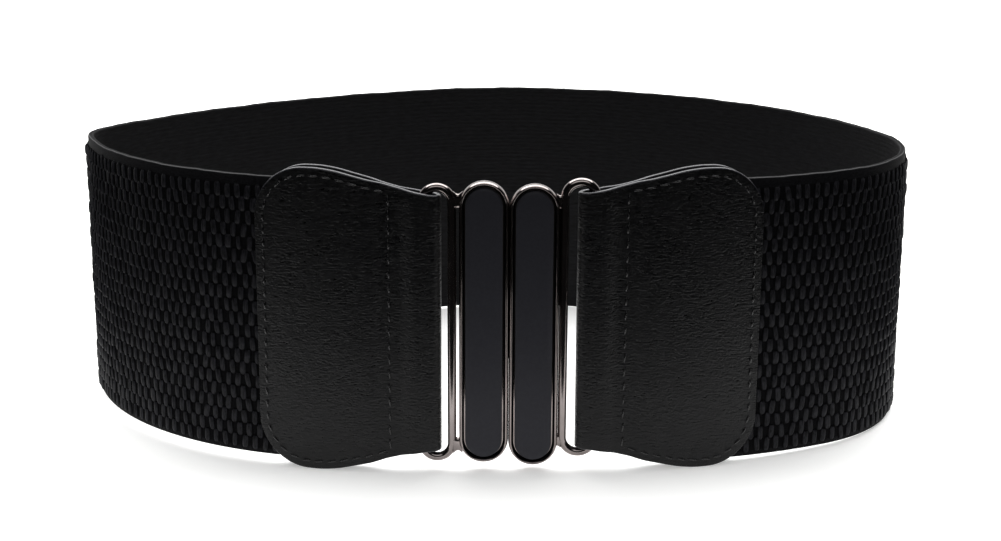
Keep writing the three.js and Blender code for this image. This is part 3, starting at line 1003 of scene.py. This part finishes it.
@dataclass
class LeatherTab:
    """A leather end tab: one strip folded round its ring and sewn over the band's end."""

    plan: LoopPlan
    side: Side
    flare: float  # how much taller the tab is at its widest place than at its fold
    fold_lift: float
    edge_lift: float
    seam_top: float  # distance of the upright row of stitches at its top
    seam_foot: float
    length: float = 47.4
    corner: float = 12.5
    seam: float = 31.25  # where the leaves open for the band
    pinch_gap: float = 0.4
    pinch_slope: float = 5.0
    edge_round: float = 0.42
    edge_drop: float = 0.12  # the leather thins to its edges by this much
    edge_reach: float = 1.4  # over this width
    end_thins: tuple[float, ...] = (0.45, 0.72, 0.9, 1.0)  # shares of the thickness at the last stations
    stitch_inset: float = 2.1
    stitch_pitch: float = 3.3
    upright_pitch: float = 3.75
    thread: float = 0.3  # radius
    thread_thin: float = 0.72  # share of the radius at the needle holes
    thread_end: float = 0.05  # share of the pitch between a hole's middle and the stitch's end
    thread_swing: float = 0.11  # each stitch lies a little across its row
    thread_bow: float = 0.2  # rise of a stitch's middle over the leather
    thread_dip: float = 0.42  # its ends go down into the holes
    thread_sunk: float = 0.4  # share of the groove that the thread sinks in
    groove: float = 0.3
    groove_width: float = 0.55
    hole_depth: float = 0.3
    hole_width: float = 0.34
    puff: float = 0.28
    puff_reach: float = 3.0
    pinched_puff: float = 0.45  # share of the puff between the fold and the upright seam
    map_shift: float = 200.0  # moves the two tabs' maps apart, so that they don't show the same grain

    @property
    def outer_end(self) -> float:
        """Distance of the tab's outer edge."""
        return FOLD_X + self.length

    def half_height(self, distance: np.ndarray) -> np.ndarray:
        """Half the tab's height, by a smooth curve through the table of its outline.

        Args:
            distance: Distances from the buckle's middle.

        Returns:
            Half the height at each, with the outer corners rounded.
        """
        along = np.clip((distance - FOLD_X) / self.length, 0, 1)
        shares, rises = TAB_OUTLINE.T
        slopes = np.empty(len(shares))
        slopes[1:-1] = (rises[2:] - rises[:-2]) / (shares[2:] - shares[:-2])
        slopes[0] = (rises[1] - rises[0]) / (shares[1] - shares[0])
        slopes[-1] = (rises[-1] - rises[-2]) / (shares[-1] - shares[-2])
        row = np.clip(np.searchsorted(shares, along, side="right") - 1, 0, len(shares) - 2)
        span = shares[row + 1] - shares[row]
        t = (along - shares[row]) / span
        rise = rises[row] * (1 + 2 * t) * (1 - t) ** 2 + rises[row + 1] * t**2 * (3 - 2 * t)
        rise += span * (slopes[row] * t * (1 - t) ** 2 - slopes[row + 1] * t**2 * (1 - t))
        full = (FOLD_HEIGHT + rise * self.flare) / 2
        past = np.clip(distance - (self.outer_end - self.corner), 0, self.corner)
        return full - self.corner + np.sqrt(np.maximum(0, self.corner**2 - past**2))

    def middle(self, distance: np.ndarray) -> np.ndarray:
        """Height of the tab's middle at distances from the buckle's middle."""
        share = (distance - FOLD_X) / self.length
        return WEB_MIDDLE + self.fold_lift + (self.edge_lift - self.fold_lift) * share

    def leaf_gap(self, distance: np.ndarray, web_face: float) -> np.ndarray:
        """Offset of a leaf's inner face from the loop's middle line.

        Args:
            distance: Distances from the buckle's middle.
            web_face: Offset of the band's face that the leaf lies on.

        Returns:
            The offsets: open round the ring's bar, pinched behind it, and open again for the band.
        """
        bar = BAR_X + WIRE / 2
        shut = smooth_step(bar, bar + self.pinch_slope, distance)
        closed = FOLD_HALF_GAP + (self.pinch_gap / 2 - FOLD_HALF_GAP) * shut
        opened = smooth_step(self.seam, self.seam + self.pinch_slope, distance)
        return closed + (web_face + CLEARANCE - closed) * opened

    def outline(self, inset: float) -> np.ndarray:
        """The tab's edge beyond the upright seam, moved inwards.

        Args:
            inset: How far inwards.

        Returns:
            Distances and heights of its points from the tab's middle, from the top round to the foot.
        """
        corner_steps, step, shortest = 40, 0.25, 0.001
        turn = np.linspace(0, math.pi / 2, corner_steps)
        straight = np.arange(self.seam_top, self.outer_end - self.corner, step)
        round_part = self.outer_end - self.corner + self.corner * np.sin(turn)
        distance = np.concatenate((straight, round_part))
        top = np.stack((distance, self.half_height(distance)), axis=-1)
        down = np.stack((top[::-1, 0], -top[::-1, 1]), axis=-1)
        path = np.concatenate((top, down))
        path = path[np.r_[True, np.linalg.norm(np.diff(path, axis=0), axis=1) > shortest]]
        along = unit(np.gradient(path, axis=0))
        return path + inset * np.stack((along[:, 1], -along[:, 0]), axis=-1)

    def needle_holes(self) -> list[np.ndarray]:
        """Needle holes of the two rows.

        Returns:
            Distances and heights from the tab's middle, of the border row and of the upright row.
        """
        border = resampled(self.outline(self.stitch_inset), self.stitch_pitch)
        top, foot = border[0], border[-1]
        upright = np.linspace(top, foot, round(np.linalg.norm(top - foot) / self.upright_pitch) + 1)
        upright[:, 0] = np.interp(upright[:, 1], [foot[1], top[1]], [self.seam_foot, self.seam_top])
        return [border, upright]

    def relief(self, distance: np.ndarray, height: np.ndarray) -> np.ndarray:
        """How far the sewn leather stands proud of the strip's plain face.

        Args:
            distance: Distances from the buckle's middle.
            height: Heights from the tab's middle.

        Returns:
            The puff between the rows, less the groove that each row pulls in and its needle holes.
        """
        rows = self.needle_holes()
        line = np.concatenate([resampled(row, 0.4) for row in rows])
        holes = np.concatenate(rows)
        spots = np.stack((distance, height), axis=-1).reshape(-1, 2)
        away = nearest(spots, line).reshape(distance.shape)
        pit = nearest(spots, holes).reshape(distance.shape)
        inside = smooth_step(self.seam_top - 1.0, self.seam_top + 1.0, distance)
        held = self.pinched_puff + (1 - self.pinched_puff) * inside
        proud = self.puff * (1 - np.exp(-away / self.puff_reach)) * held
        proud -= self.groove * np.exp(-((away / self.groove_width) ** 2))
        return proud - self.hole_depth * np.exp(-((pit / self.hole_width) ** 2))

    def leaf_distances(self) -> np.ndarray:
        """Stations along a leaf, close together at the upright seam and at the rounded corners.

        Returns:
            Their distances from the buckle's middle, from the fold to the outer edge.
        """
        wide_step, seam_step, outer_step, corner_steps = 0.75, 0.27, 0.8, 30
        start = FOLD_X + LEATHER + FOLD_HALF_GAP
        seam_from, seam_to = self.seam - 3.2, self.seam + 1.4  # where the stations are close together
        corner = self.outer_end - self.corner
        turn = np.linspace(0, math.pi / 2, corner_steps)
        return np.concatenate((
            np.arange(start, seam_from, wide_step),
            np.arange(seam_from, seam_to, seam_step),
            np.arange(seam_to, corner, outer_step),
            corner + self.corner * np.sin(turn),
        ))

    def path(self) -> tuple[np.ndarray, np.ndarray]:
        """Middle line of the strip in plan, from the front leaf's edge round the fold to the back leaf's.

        Returns:
            Distances and offsets of its points.
        """
        half = LEATHER / 2
        leaf = self.leaf_distances()
        front = self.leaf_gap(leaf, FIELD_FACE) + half
        back = -self.leaf_gap(leaf, WEB_HALF) - half
        radius = FOLD_HALF_GAP + half
        angle = np.linspace(0, math.pi, 20)[1:-1]
        fold = FOLD_X + half + radius - radius * np.sin(angle)
        distance = np.concatenate((leaf[::-1], fold, leaf))
        return distance, np.concatenate((front[::-1], radius * np.cos(angle), back))

    def shell(self) -> Shell:
        """The sewn strip of leather with rounded, painted edges.

        Returns:
            The shell, with its leather faces and painted edges told apart.
        """
        distance, offset = self.path()
        along = unit(np.stack((np.gradient(distance), np.gradient(offset)), axis=-1))
        half, turn = LEATHER / 2, self.edge_round
        border = 0.89  # share of the half height from which the rows are closer, for the border's stitches
        wide_rows, close_rows, arc_steps, back_rows = 38, 17, 4, 21
        share = np.concatenate((
            np.linspace(0, border, wide_rows)[:-1], np.linspace(border, 1.0, close_rows)
        ))
        share = np.concatenate((-share[:0:-1], share))
        tall = self.half_height(distance)
        rows = share * (tall[:, None] - turn)
        far = np.broadcast_to(distance[:, None], rows.shape)
        inner = smooth_step(0, self.edge_reach, tall[:, None] - np.abs(rows))
        inner = inner * smooth_step(0, self.edge_reach, self.outer_end - far)
        proud = self.relief(far, rows) * inner - self.edge_drop * (1 - inner)
        arc = np.linspace(0, math.pi / 2, arc_steps + 1)[1:]
        top = [(half - turn + turn * math.cos(a), turn * math.sin(a)) for a in arc]
        even = np.ones(len(tall))
        outline: list[tuple[np.ndarray, np.ndarray]] = [
            (half + proud[:, k], rows[:, k]) for k in range(len(share))
        ]
        outline += [(x * even, tall - turn + y) for x, y in top]
        outline += [(-x * even, tall - turn + y) for x, y in top[::-1]]
        outline += [(-half * even, value * (tall - turn)) for value in np.linspace(1, -1, back_rows)]
        outline += [(-x * even, turn - tall - y) for x, y in top]
        outline += [(x * even, turn - tall - y) for x, y in top[::-1]]
        across = np.stack([x for x, _ in outline], axis=1)
        up = np.stack([y for _, y in outline], axis=1)
        ends = np.minimum(np.arange(len(tall)), np.arange(len(tall))[::-1])
        across *= np.interp(ends, range(len(self.end_thins)), self.end_thins)[:, None]
        shown = self.side.value * (distance[:, None] - across * along[:, 1:])
        out = offset[:, None] + across * along[:, :1]
        height = self.middle(distance)[:, None] + up
        run = np.concatenate(([0.0], np.cumsum(np.hypot(np.diff(distance), np.diff(offset)))))
        shift = self.map_shift * self.side.value
        spots = np.stack((np.broadcast_to(run[:, None], height.shape) + shift, height), axis=-1)
        shell = loft(self.plan.place(shown, out, height), spots)
        count, bead = len(outline), 2 * len(top)
        ring = np.arange(count)
        painted = ((ring >= len(share)) & (ring < len(share) + bead)) | (ring >= count - bead)
        finish = np.where(painted, TabPart.EDGE, TabPart.FACE)
        shell.finish_of = [*np.tile(finish, len(tall) - 1).tolist(), TabPart.EDGE, TabPart.EDGE]
        return shell

    def stitches(self) -> Shell:
        """The sewing thread on both leaves.

        Returns:
            One small bowed form to each stitch, joined.
        """
        parts: list[Shell] = []
        around, stations = 8, 9
        ring = np.linspace(0, 2 * math.pi, around + 1)[:-1]
        share = np.linspace(0, 1, stations)
        bow = np.sin(math.pi * share)
        for face, web_face in ((1, FIELD_FACE), (-1, WEB_HALF)):
            for row in self.needle_holes():
                for low, high in zip(row[:-1], row[1:]):
                    step = high - low
                    cross = np.array([-step[1], step[0]]) / np.linalg.norm(step)
                    line = low + np.outer(self.thread_end + (1 - 2 * self.thread_end) * share, step)
                    line += np.outer(self.thread_swing * np.cos(math.pi * share), cross)
                    rise = self.thread_bow * np.sqrt(bow) - self.thread_dip * (1 - bow) ** 2
                    rise -= self.groove * self.thread_sunk
                    thick = self.thread * (self.thread_thin + (1 - self.thread_thin) * bow)
                    spot = line[:, None, :] + (thick[:, None] * np.cos(ring))[..., None] * cross
                    gap = self.leaf_gap(line[:, 0], web_face) + LEATHER + rise
                    out = gap[:, None] + thick[:, None] * np.sin(ring)
                    up = spot[..., 1] + self.middle(spot[..., 0])
                    place = self.plan.place(self.side.value * spot[..., 0], face * out, up)
                    run = np.linalg.norm(step) * share
                    spots = np.stack(np.broadcast_arrays(run[:, None], ring * self.thread), axis=-1)
                    parts.append(loft(place, spots))
        return joined_shells(parts)

    def build(
        self, leather: bpy.types.Material, paint_and_highlight: bpy.types.Material, thread: bpy.types.Material
    ) -> None:
        """Builds and dresses the tab and its stitches.

        Args:
            leather: Material of its faces.
            paint_and_highlight: Material of its cut edges.
            thread: Material of its stitches.
        """
        word = self.side.word
        faces = [leather, paint_and_highlight]
        make_piece(f"{word}_tab_leather", self.shell(), faces, [f"{word}_tab"], crease=75)
        make_piece(f"{word}_tab_stitches", self.stitches(), [thread], crease=80)


def resampled(path: np.ndarray, pitch: float) -> np.ndarray:
    """Points evenly spaced along a path, at about a pitch.

    Args:
        path: The path's points.
        pitch: The wanted spacing.

    Returns:
        The new points, with the path's two ends.
    """
    run = np.concatenate(([0.0], np.cumsum(np.linalg.norm(np.diff(path, axis=0), axis=1))))
    wanted = np.linspace(0, run[-1], round(run[-1] / pitch) + 1)
    return np.stack([np.interp(wanted, run, path[:, k]) for k in range(path.shape[1])], axis=-1)


def nearest(spots: np.ndarray, marks: np.ndarray) -> np.ndarray:
    """Distance from each spot to the nearest mark.

    Args:
        spots: Points in the plane.
        marks: Other points in the plane.

    Returns:
        One distance for each spot.
    """
    best = np.full(len(spots), np.inf)
    for mark in marks:
        best = np.minimum(best, ((spots - mark) ** 2).sum(1))
    return np.sqrt(best)


def stadium(width: Any, height: Any, y: Any, steps: int = 28) -> np.ndarray:
    """Points of upright stadiums round the origin.

    Args:
        width: Width of each.
        height: Height of each.
        y: Depth of each.
        steps: Steps in half a turn of an end.

    Returns:
        One ring of points for each.
    """
    width, height, y = (np.asarray(v, float)[:, None] for v in (width, height, y))
    angle = np.linspace(0, math.pi, steps + 1)
    radius, reach = width / 2, height / 2 - width / 2
    x = np.concatenate((radius * np.cos(angle), -radius * np.cos(angle)), axis=1)
    z = np.concatenate((reach + radius * np.sin(angle), -reach - radius * np.sin(angle)), axis=1)
    return np.stack((x, np.broadcast_to(y, x.shape), z), axis=-1)


@dataclass
class BuckleHalf:
    """Half of the buckle: rimmed plate, wire ring with its two lugs, and the enamelled inlay."""

    side: Side
    plate_lift: float
    ring_lift: float
    ring_gap: float = RING_GAP  # between the plate and the ring's inner bar
    plate_thickness: float = 3.6
    rim_width: float = 1.2
    roundness: float = 0.145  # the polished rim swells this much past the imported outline
    recess: float = 1.3
    inlay_gap: float = 0.3
    inlay_crown: float = 0.6
    inlay_slope: float = 2.3
    inlay_chamfer: float = 0.12  # at the back
    inlay_fullness: float = 0.05  # of the dome inside its slope
    inlay_reach: float = 0.92  # where the dome's last ring lies, as a share of half the width
    lug_height: float = 3.4
    lug_thickness: float = 1.6
    lug_from_end: float = 4.5
    lug_bite: float = 0.8
    lug_fillet: float = 0.35  # how much the lug widens a millimetre from its middle
    lug_square: float = 0.6  # 1 is round, 0 is square

    def plate_middle(self) -> np.ndarray:
        """Middle of the plate."""
        return np.array((self.side.value * (PLATE_GAP + PLATE_WIDTH) / 2, 0, WEB_MIDDLE + self.plate_lift))

    def plate(self) -> Shell:
        """The plate, with a rounded rim round its recess.

        Returns:
            The shell.
        """
        half, floor = self.plate_thickness / 2, self.recess - self.plate_thickness / 2
        rim, swell = self.rim_width, self.roundness
        # Distance inside the plate's outline and depth, from the back round the outside to the recess's floor
        profile = np.array([
            (0.7, half), (0.35, half - 0.06), (0.08, half - 0.28), (-0.5 * swell, half - 0.6), (-swell, 0.0),
            (-0.7 * swell, 0.9 - half), (0.02, 0.52 - half), (0.15, 0.22 - half), (0.32, 0.05 - half),
            (0.46, -half), (0.6, 0.05 - half), (0.76, 0.24 - half), (0.92, 0.55 - half),
            (rim - 0.05, 0.95 - half), (rim, floor),
        ])
        inset, y = profile.T
        rings = stadium(PLATE_WIDTH - 2 * inset, PLATE_HEIGHT - 2 * inset, y)
        return loft(rings + self.plate_middle())

    def ring(self) -> Shell:
        """The ring of round wire.

        Returns:
            The shell.
        """
        steps, around = 28, 24
        half_turn = np.linspace(0, math.pi, steps + 1)
        angle = np.concatenate((half_turn, half_turn + math.pi))
        end = np.concatenate((np.ones(steps + 1), -np.ones(steps + 1)))
        wider = RING_GAP - self.ring_gap
        radius = (RING_WIDTH + wider - WIRE) / 2
        reach = (RING_HEIGHT - RING_WIDTH - wider) / 2
        turn = np.linspace(0, 2 * math.pi, around + 1)[:-1]
        far = radius + WIRE / 2 * np.cos(turn)
        x = np.cos(angle)[:, None] * far
        z = (end * reach)[:, None] + np.sin(angle)[:, None] * far
        y = np.broadcast_to(WIRE / 2 * np.sin(turn), x.shape)
        centre = np.array((self.side.value * (RING_X - wider / 2), 0, WEB_MIDDLE + self.ring_lift))
        return loft(np.stack((x, y, z), axis=-1) + centre, joined=True)

    def lugs(self) -> list[Shell]:
        """The two soldered lugs between plate and ring, waisted by the solder's fillets.

        Returns:
            Their shells.
        """
        join, stations, around = PLATE_GAP / 2 + PLATE_WIDTH, 9, 24
        across = np.linspace(-self.lug_bite, self.ring_gap + self.lug_bite, stations)
        flare = 1 + self.lug_fillet * np.abs(across - self.ring_gap / 2) ** 1.5
        corner = np.linspace(0, 2 * math.pi, around + 1)[:-1]
        form_y, form_z = (np.sign(v) * np.abs(v) ** self.lug_square for v in (np.cos(corner), np.sin(corner)))
        found = []
        for end in (1, -1):
            plate_end = end * self.plate_lift + PLATE_HEIGHT / 2
            ring_end = end * self.ring_lift + RING_HEIGHT / 2
            z = WEB_MIDDLE + end * (min(plate_end, ring_end) - self.lug_from_end)
            x = np.broadcast_to(self.side.value * (join + across)[:, None], (len(across), len(corner)))
            rings = np.stack((
                x,
                flare[:, None] * form_y * self.lug_thickness / 2,
                z + flare[:, None] * form_z * self.lug_height / 2,
            ), axis=-1)
            found.append(loft(rings))
        return found

    def inlay(self) -> Shell:
        """The softly domed inlay.

        Returns:
            The shell.
        """
        slope_steps, dome_steps = 12, 6
        less, half = self.rim_width + self.inlay_gap, self.plate_thickness / 2
        front = -half - self.inlay_crown / 2
        angle = np.linspace(0, math.pi / 2, slope_steps)
        slope = self.inlay_slope * (1 - np.cos(angle))
        rise = front + self.inlay_crown * (1 - np.sin(angle))
        inner = (PLATE_WIDTH / 2 - less) * self.inlay_reach
        broad = np.linspace(self.inlay_slope, inner, dome_steps)[1:]
        inset = np.concatenate(([self.inlay_chamfer, 0.0], slope, broad))
        back = self.recess - half - self.inlay_gap
        fullness = self.inlay_fullness * (broad - self.inlay_slope) / broad[-1]
        y = np.concatenate(([back, back - self.inlay_chamfer], rise, front - fullness))
        rings = stadium(PLATE_WIDTH - 2 * (less + inset), PLATE_HEIGHT - 2 * (less + inset), y)
        return loft(rings + self.plate_middle())

    def build(self, metal: bpy.types.Material, enamel: bpy.types.Material) -> None:
        """Builds and dresses this half of the buckle.

        Args:
            metal: Material of the plate, ring and lugs.
            enamel: Material of the inlay.
        """
        word = self.side.word
        frame = joined_shells([self.plate(), self.ring(), *self.lugs()])
        make_piece(f"{word}_frame_metal", frame, [metal], [f"{word}_buckle_frame"], crease=40)
        make_piece(f"{word}_inlay_enamel", self.inlay(), [enamel], [f"{word}_inlay"], crease=55)


@dataclass
class ClaspStrip:
    """Hidden clasp behind the plates: one flat strip with its ends bent forward into them."""

    height: float = 20.0
    thickness: float = 1.2
    span: float = 14.0
    bite: float = 1.1
    plate_back: float = 1.8
    bend: float = 0.7
    edge: float = 0.3

    def build(self, metal: bpy.types.Material) -> None:
        """Builds and dresses the strip.

        Args:
            metal: Its material.
        """
        half, near = self.span / 2, self.plate_back + CLEARANCE
        middle = near + self.thickness / 2
        arc = np.linspace(0, math.pi / 2, 7)
        x = half - self.thickness / 2 - self.bend + self.bend * np.sin(arc)
        y = middle - self.bend + self.bend * np.cos(arc)
        right = np.stack((np.append(x, x[-1]), np.append(y, self.plate_back - self.bite)), axis=-1)
        line = np.concatenate((right[::-1] * (-1, 1), right))
        along = unit(np.gradient(line, axis=0))
        normal = np.stack((-along[:, 1], along[:, 0]), axis=-1)
        out, up = self.thickness / 2, self.height / 2
        outline = []
        for sign_out, sign_up in ((1, -1), (1, 1), (-1, 1), (-1, -1)):
            inner = (sign_out * (out - self.edge), sign_up * up)
            outer = (sign_out * out, sign_up * (up - self.edge))
            outline += [inner, outer] if sign_out * sign_up < 0 else [outer, inner]
        sections = np.stack([
            np.concatenate((line + a * normal, np.full((len(line), 1), WEB_MIDDLE + b)), axis=1)
            for a, b in outline
        ], axis=1)
        make_piece("clasp_strip_metal", loft(sections), [metal], ["clasp_hook"], crease=35)


@dataclass(frozen=True)
class Softbox:
    """A rectangular soft light, in metres and watts."""

    name: str
    place: Point
    aim: Point
    size: tuple[float, float]
    watts: float

    def build(self) -> None:
        """Hangs the light in its place."""
        data = bpy.data.lights.new(self.name, "AREA")
        data.shape = "RECTANGLE"
        data.size, data.size_y = self.size
        data.energy = self.watts
        light = bpy.data.objects.new(self.name, data)
        light.location = self.place
        light.rotation_euler = (Vector(self.aim) - Vector(self.place)).to_track_quat("-Z", "Y").to_euler()
        bpy.context.scene.collection.objects.link(light)


SOFTBOXES = (
    Softbox("top_softbox", (0, 1.2, 2.0), (0, 1.2, 0), (3.4, 2.6), 130.0),
    Softbox("front_softbox", (0, -1.35, 1.3), (0, 0, 0.04), (1.6, 1.0), 6.0),
)


def level_sheet(x_low: float, x_high: float, y_low: float, y_high: float, z: float) -> list[Point]:
    """The four corners of a level rectangle."""
    return [(x_low, y_low, z), (x_high, y_low, z), (x_high, y_high, z), (x_low, y_high, z)]


@dataclass
class Studio:
    """Pale floor, soft lights and the camera. Lengths are metres, unless their name says otherwise."""

    focal_px: float = 1772.9  # of the camera that was fitted to the photograph
    picture_px: float = 1001.0
    camera_mm: Point = (-2.205, -436.067, 165.621)
    pitch: float = 0.255578
    roll: float = 0.005237
    sensor_mm: float = 36.0
    clip: tuple[float, float] = (0.01, 50.0)
    floor_size: float = 7.0
    floor_colour: str = "#f8f8f7"
    table_glow: float = 0.43  # the table top is lit from below
    cloth_colour: str = "#050505"
    cloth_reach: float = 2.0  # to both sides
    cloth_far: float = -2.2  # where the dark cloth ends at the room's front wall
    cloth_front: float = -0.133  # where it ends in front of the belt
    cloth_back: float = 0.2  # where it ends beside the belt
    cloth_side: float = 0.16  # how near it comes to the belt's middle from both sides
    cloth_lift: float = 0.001
    drape_top: float = 1.6
    front_light: str = "#161617"  # of the room behind the camera
    sweep_light: str = "#ffffff"  # of the white wall behind the belt
    sweep_edge: tuple[float, float] = (0.2, 0.8)  # where the one turns into the other, towards +Y

    def camera(self) -> None:
        """Places the camera at the photograph's angle."""
        data = bpy.data.cameras.new("photo_camera")
        data.sensor_width = self.sensor_mm
        data.lens = self.focal_px / self.picture_px * self.sensor_mm
        data.clip_start, data.clip_end = self.clip
        camera = bpy.data.objects.new("photo_camera", data)
        bpy.context.scene.collection.objects.link(camera)
        ahead = Vector((0, math.cos(self.pitch), -math.sin(self.pitch)))
        up = Vector((0, math.sin(self.pitch), math.cos(self.pitch)))
        right = Vector((1, 0, 0))
        cos, sin = math.cos(self.roll), math.sin(self.roll)
        tilted_right, tilted_up = cos * right + sin * up, cos * up - sin * right
        turn = Matrix((tilted_right, tilted_up, -ahead)).transposed()
        stand = stand_matrix()
        level = stand.to_3x3().normalized() @ turn
        camera.matrix_world = Matrix.Translation(stand @ Vector(self.camera_mm)) @ level.to_4x4()
        bpy.context.scene.camera = camera

    def card(self, name: str, corners: Sequence[Point], colour: str, glow: float = 0.0) -> bpy.types.Object:
        """Makes a flat stage card.

        Args:
            name: Its name.
            corners: Its four corners.
            colour: Its sRGB colour.
            glow: Strength of the light that comes through it.

        Returns:
            The card.
        """
        mesh = bpy.data.meshes.new(name)
        mesh.from_pydata(corners, [], [(0, 1, 2, 3)])
        mesh.materials.append(MattCard(f"{name}_surface", colour, glow).build())
        card = bpy.data.objects.new(name, mesh)
        bpy.context.scene.collection.objects.link(card)
        return card

    def build(self) -> None:
        """Builds the table, the dark cloths that the belt's front mirrors, and the lights."""
        reach = self.floor_size / 2
        self.card("floor", level_sheet(-reach, reach, -reach, reach, 0), self.floor_colour, self.table_glow)
        wide, far, side, lift = self.cloth_reach, self.cloth_far, self.cloth_side, self.cloth_lift
        front, back, top = self.cloth_front, self.cloth_back, self.drape_top
        cloths = {
            "dark_cloth": level_sheet(-wide, wide, far, front, lift),
            "dark_cloth_left": level_sheet(-wide, -side, front, back, lift),
            "dark_cloth_right": level_sheet(side, wide, front, back, lift),
            "dark_drape": [(-wide, far, 0), (wide, far, 0), (wide, far, top), (-wide, far, top)],
        }
        for name, corners in cloths.items():
            cloth = self.card(name, corners, self.cloth_colour)
            cloth.visible_camera = False
            cloth.visible_shadow = False
        for softbox in SOFTBOXES:
            softbox.build()
        self.surroundings()

    def surroundings(self) -> None:
        """Lights the world: white behind the belt and dim in front of it."""
        world = bpy.data.worlds.new("white_sweep")
        world.use_nodes = True
        tree = world.node_tree
        place = add_node(tree, "ShaderNodeTexCoord")
        parts = add_node(tree, "ShaderNodeSeparateXYZ", inputs={"Vector": place.outputs["Generated"]})
        sweep = add_node(tree, "ShaderNodeMapRange", {"interpolation_type": "SMOOTHSTEP"}, {
            "Value": parts.outputs["Y"], "From Min": self.sweep_edge[0], "From Max": self.sweep_edge[1],
        })
        # A colour mix has its factor at input 0, its two colours at 6 and 7, and its result at output 2
        tint = add_node(tree, "ShaderNodeMix", {"data_type": "RGBA"}, {
            0: sweep.outputs["Result"], 6: linear(self.front_light), 7: linear(self.sweep_light),
        })
        tree.links.new(tint.outputs[2], tree.nodes["Background"].inputs["Color"])
        tree.nodes["Background"].inputs["Strength"].default_value = 1.0
        bpy.context.scene.world = world
        bpy.context.scene.view_settings.view_transform = "Standard"


def main() -> None:
    """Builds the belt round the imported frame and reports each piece."""
    logging.basicConfig(level=logging.INFO, format="%(name)s: %(message)s")
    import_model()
    studio = Studio()
    studio.camera()
    plan = LoopPlan(LOOP_ARCS, LOOP_LENGTH, STRAIGHT_HALF)
    leather, paint_and_highlight, thread = PigmentedLeather().build(), PaintedEdge().build(), BondedThread().build()
    metal, enamel = PlatedZinc().build(), BakedEnamel().build()
    tabs = (
        LeatherTab(plan, Side.LEFT, flare=12.7, fold_lift=0.0, edge_lift=0.7, seam_top=30.6, seam_foot=30.6),
        LeatherTab(plan, Side.RIGHT, flare=12.1, fold_lift=0.9, edge_lift=1.3, seam_top=30.0, seam_foot=29.6),
    )
    halves = (
        BuckleHalf(Side.LEFT, plate_lift=0.1, ring_lift=-0.2),
        BuckleHalf(Side.RIGHT, plate_lift=-0.6, ring_lift=1.3, ring_gap=0.16),
    )
    for tab in tabs:
        tab.build(leather, paint_and_highlight, thread)
    for half in halves:
        half.build(metal, enamel)
    ClaspStrip().build(metal)
    ElasticBand(plan).build()
    studio.build()


if __name__ == "__main__":
    main()
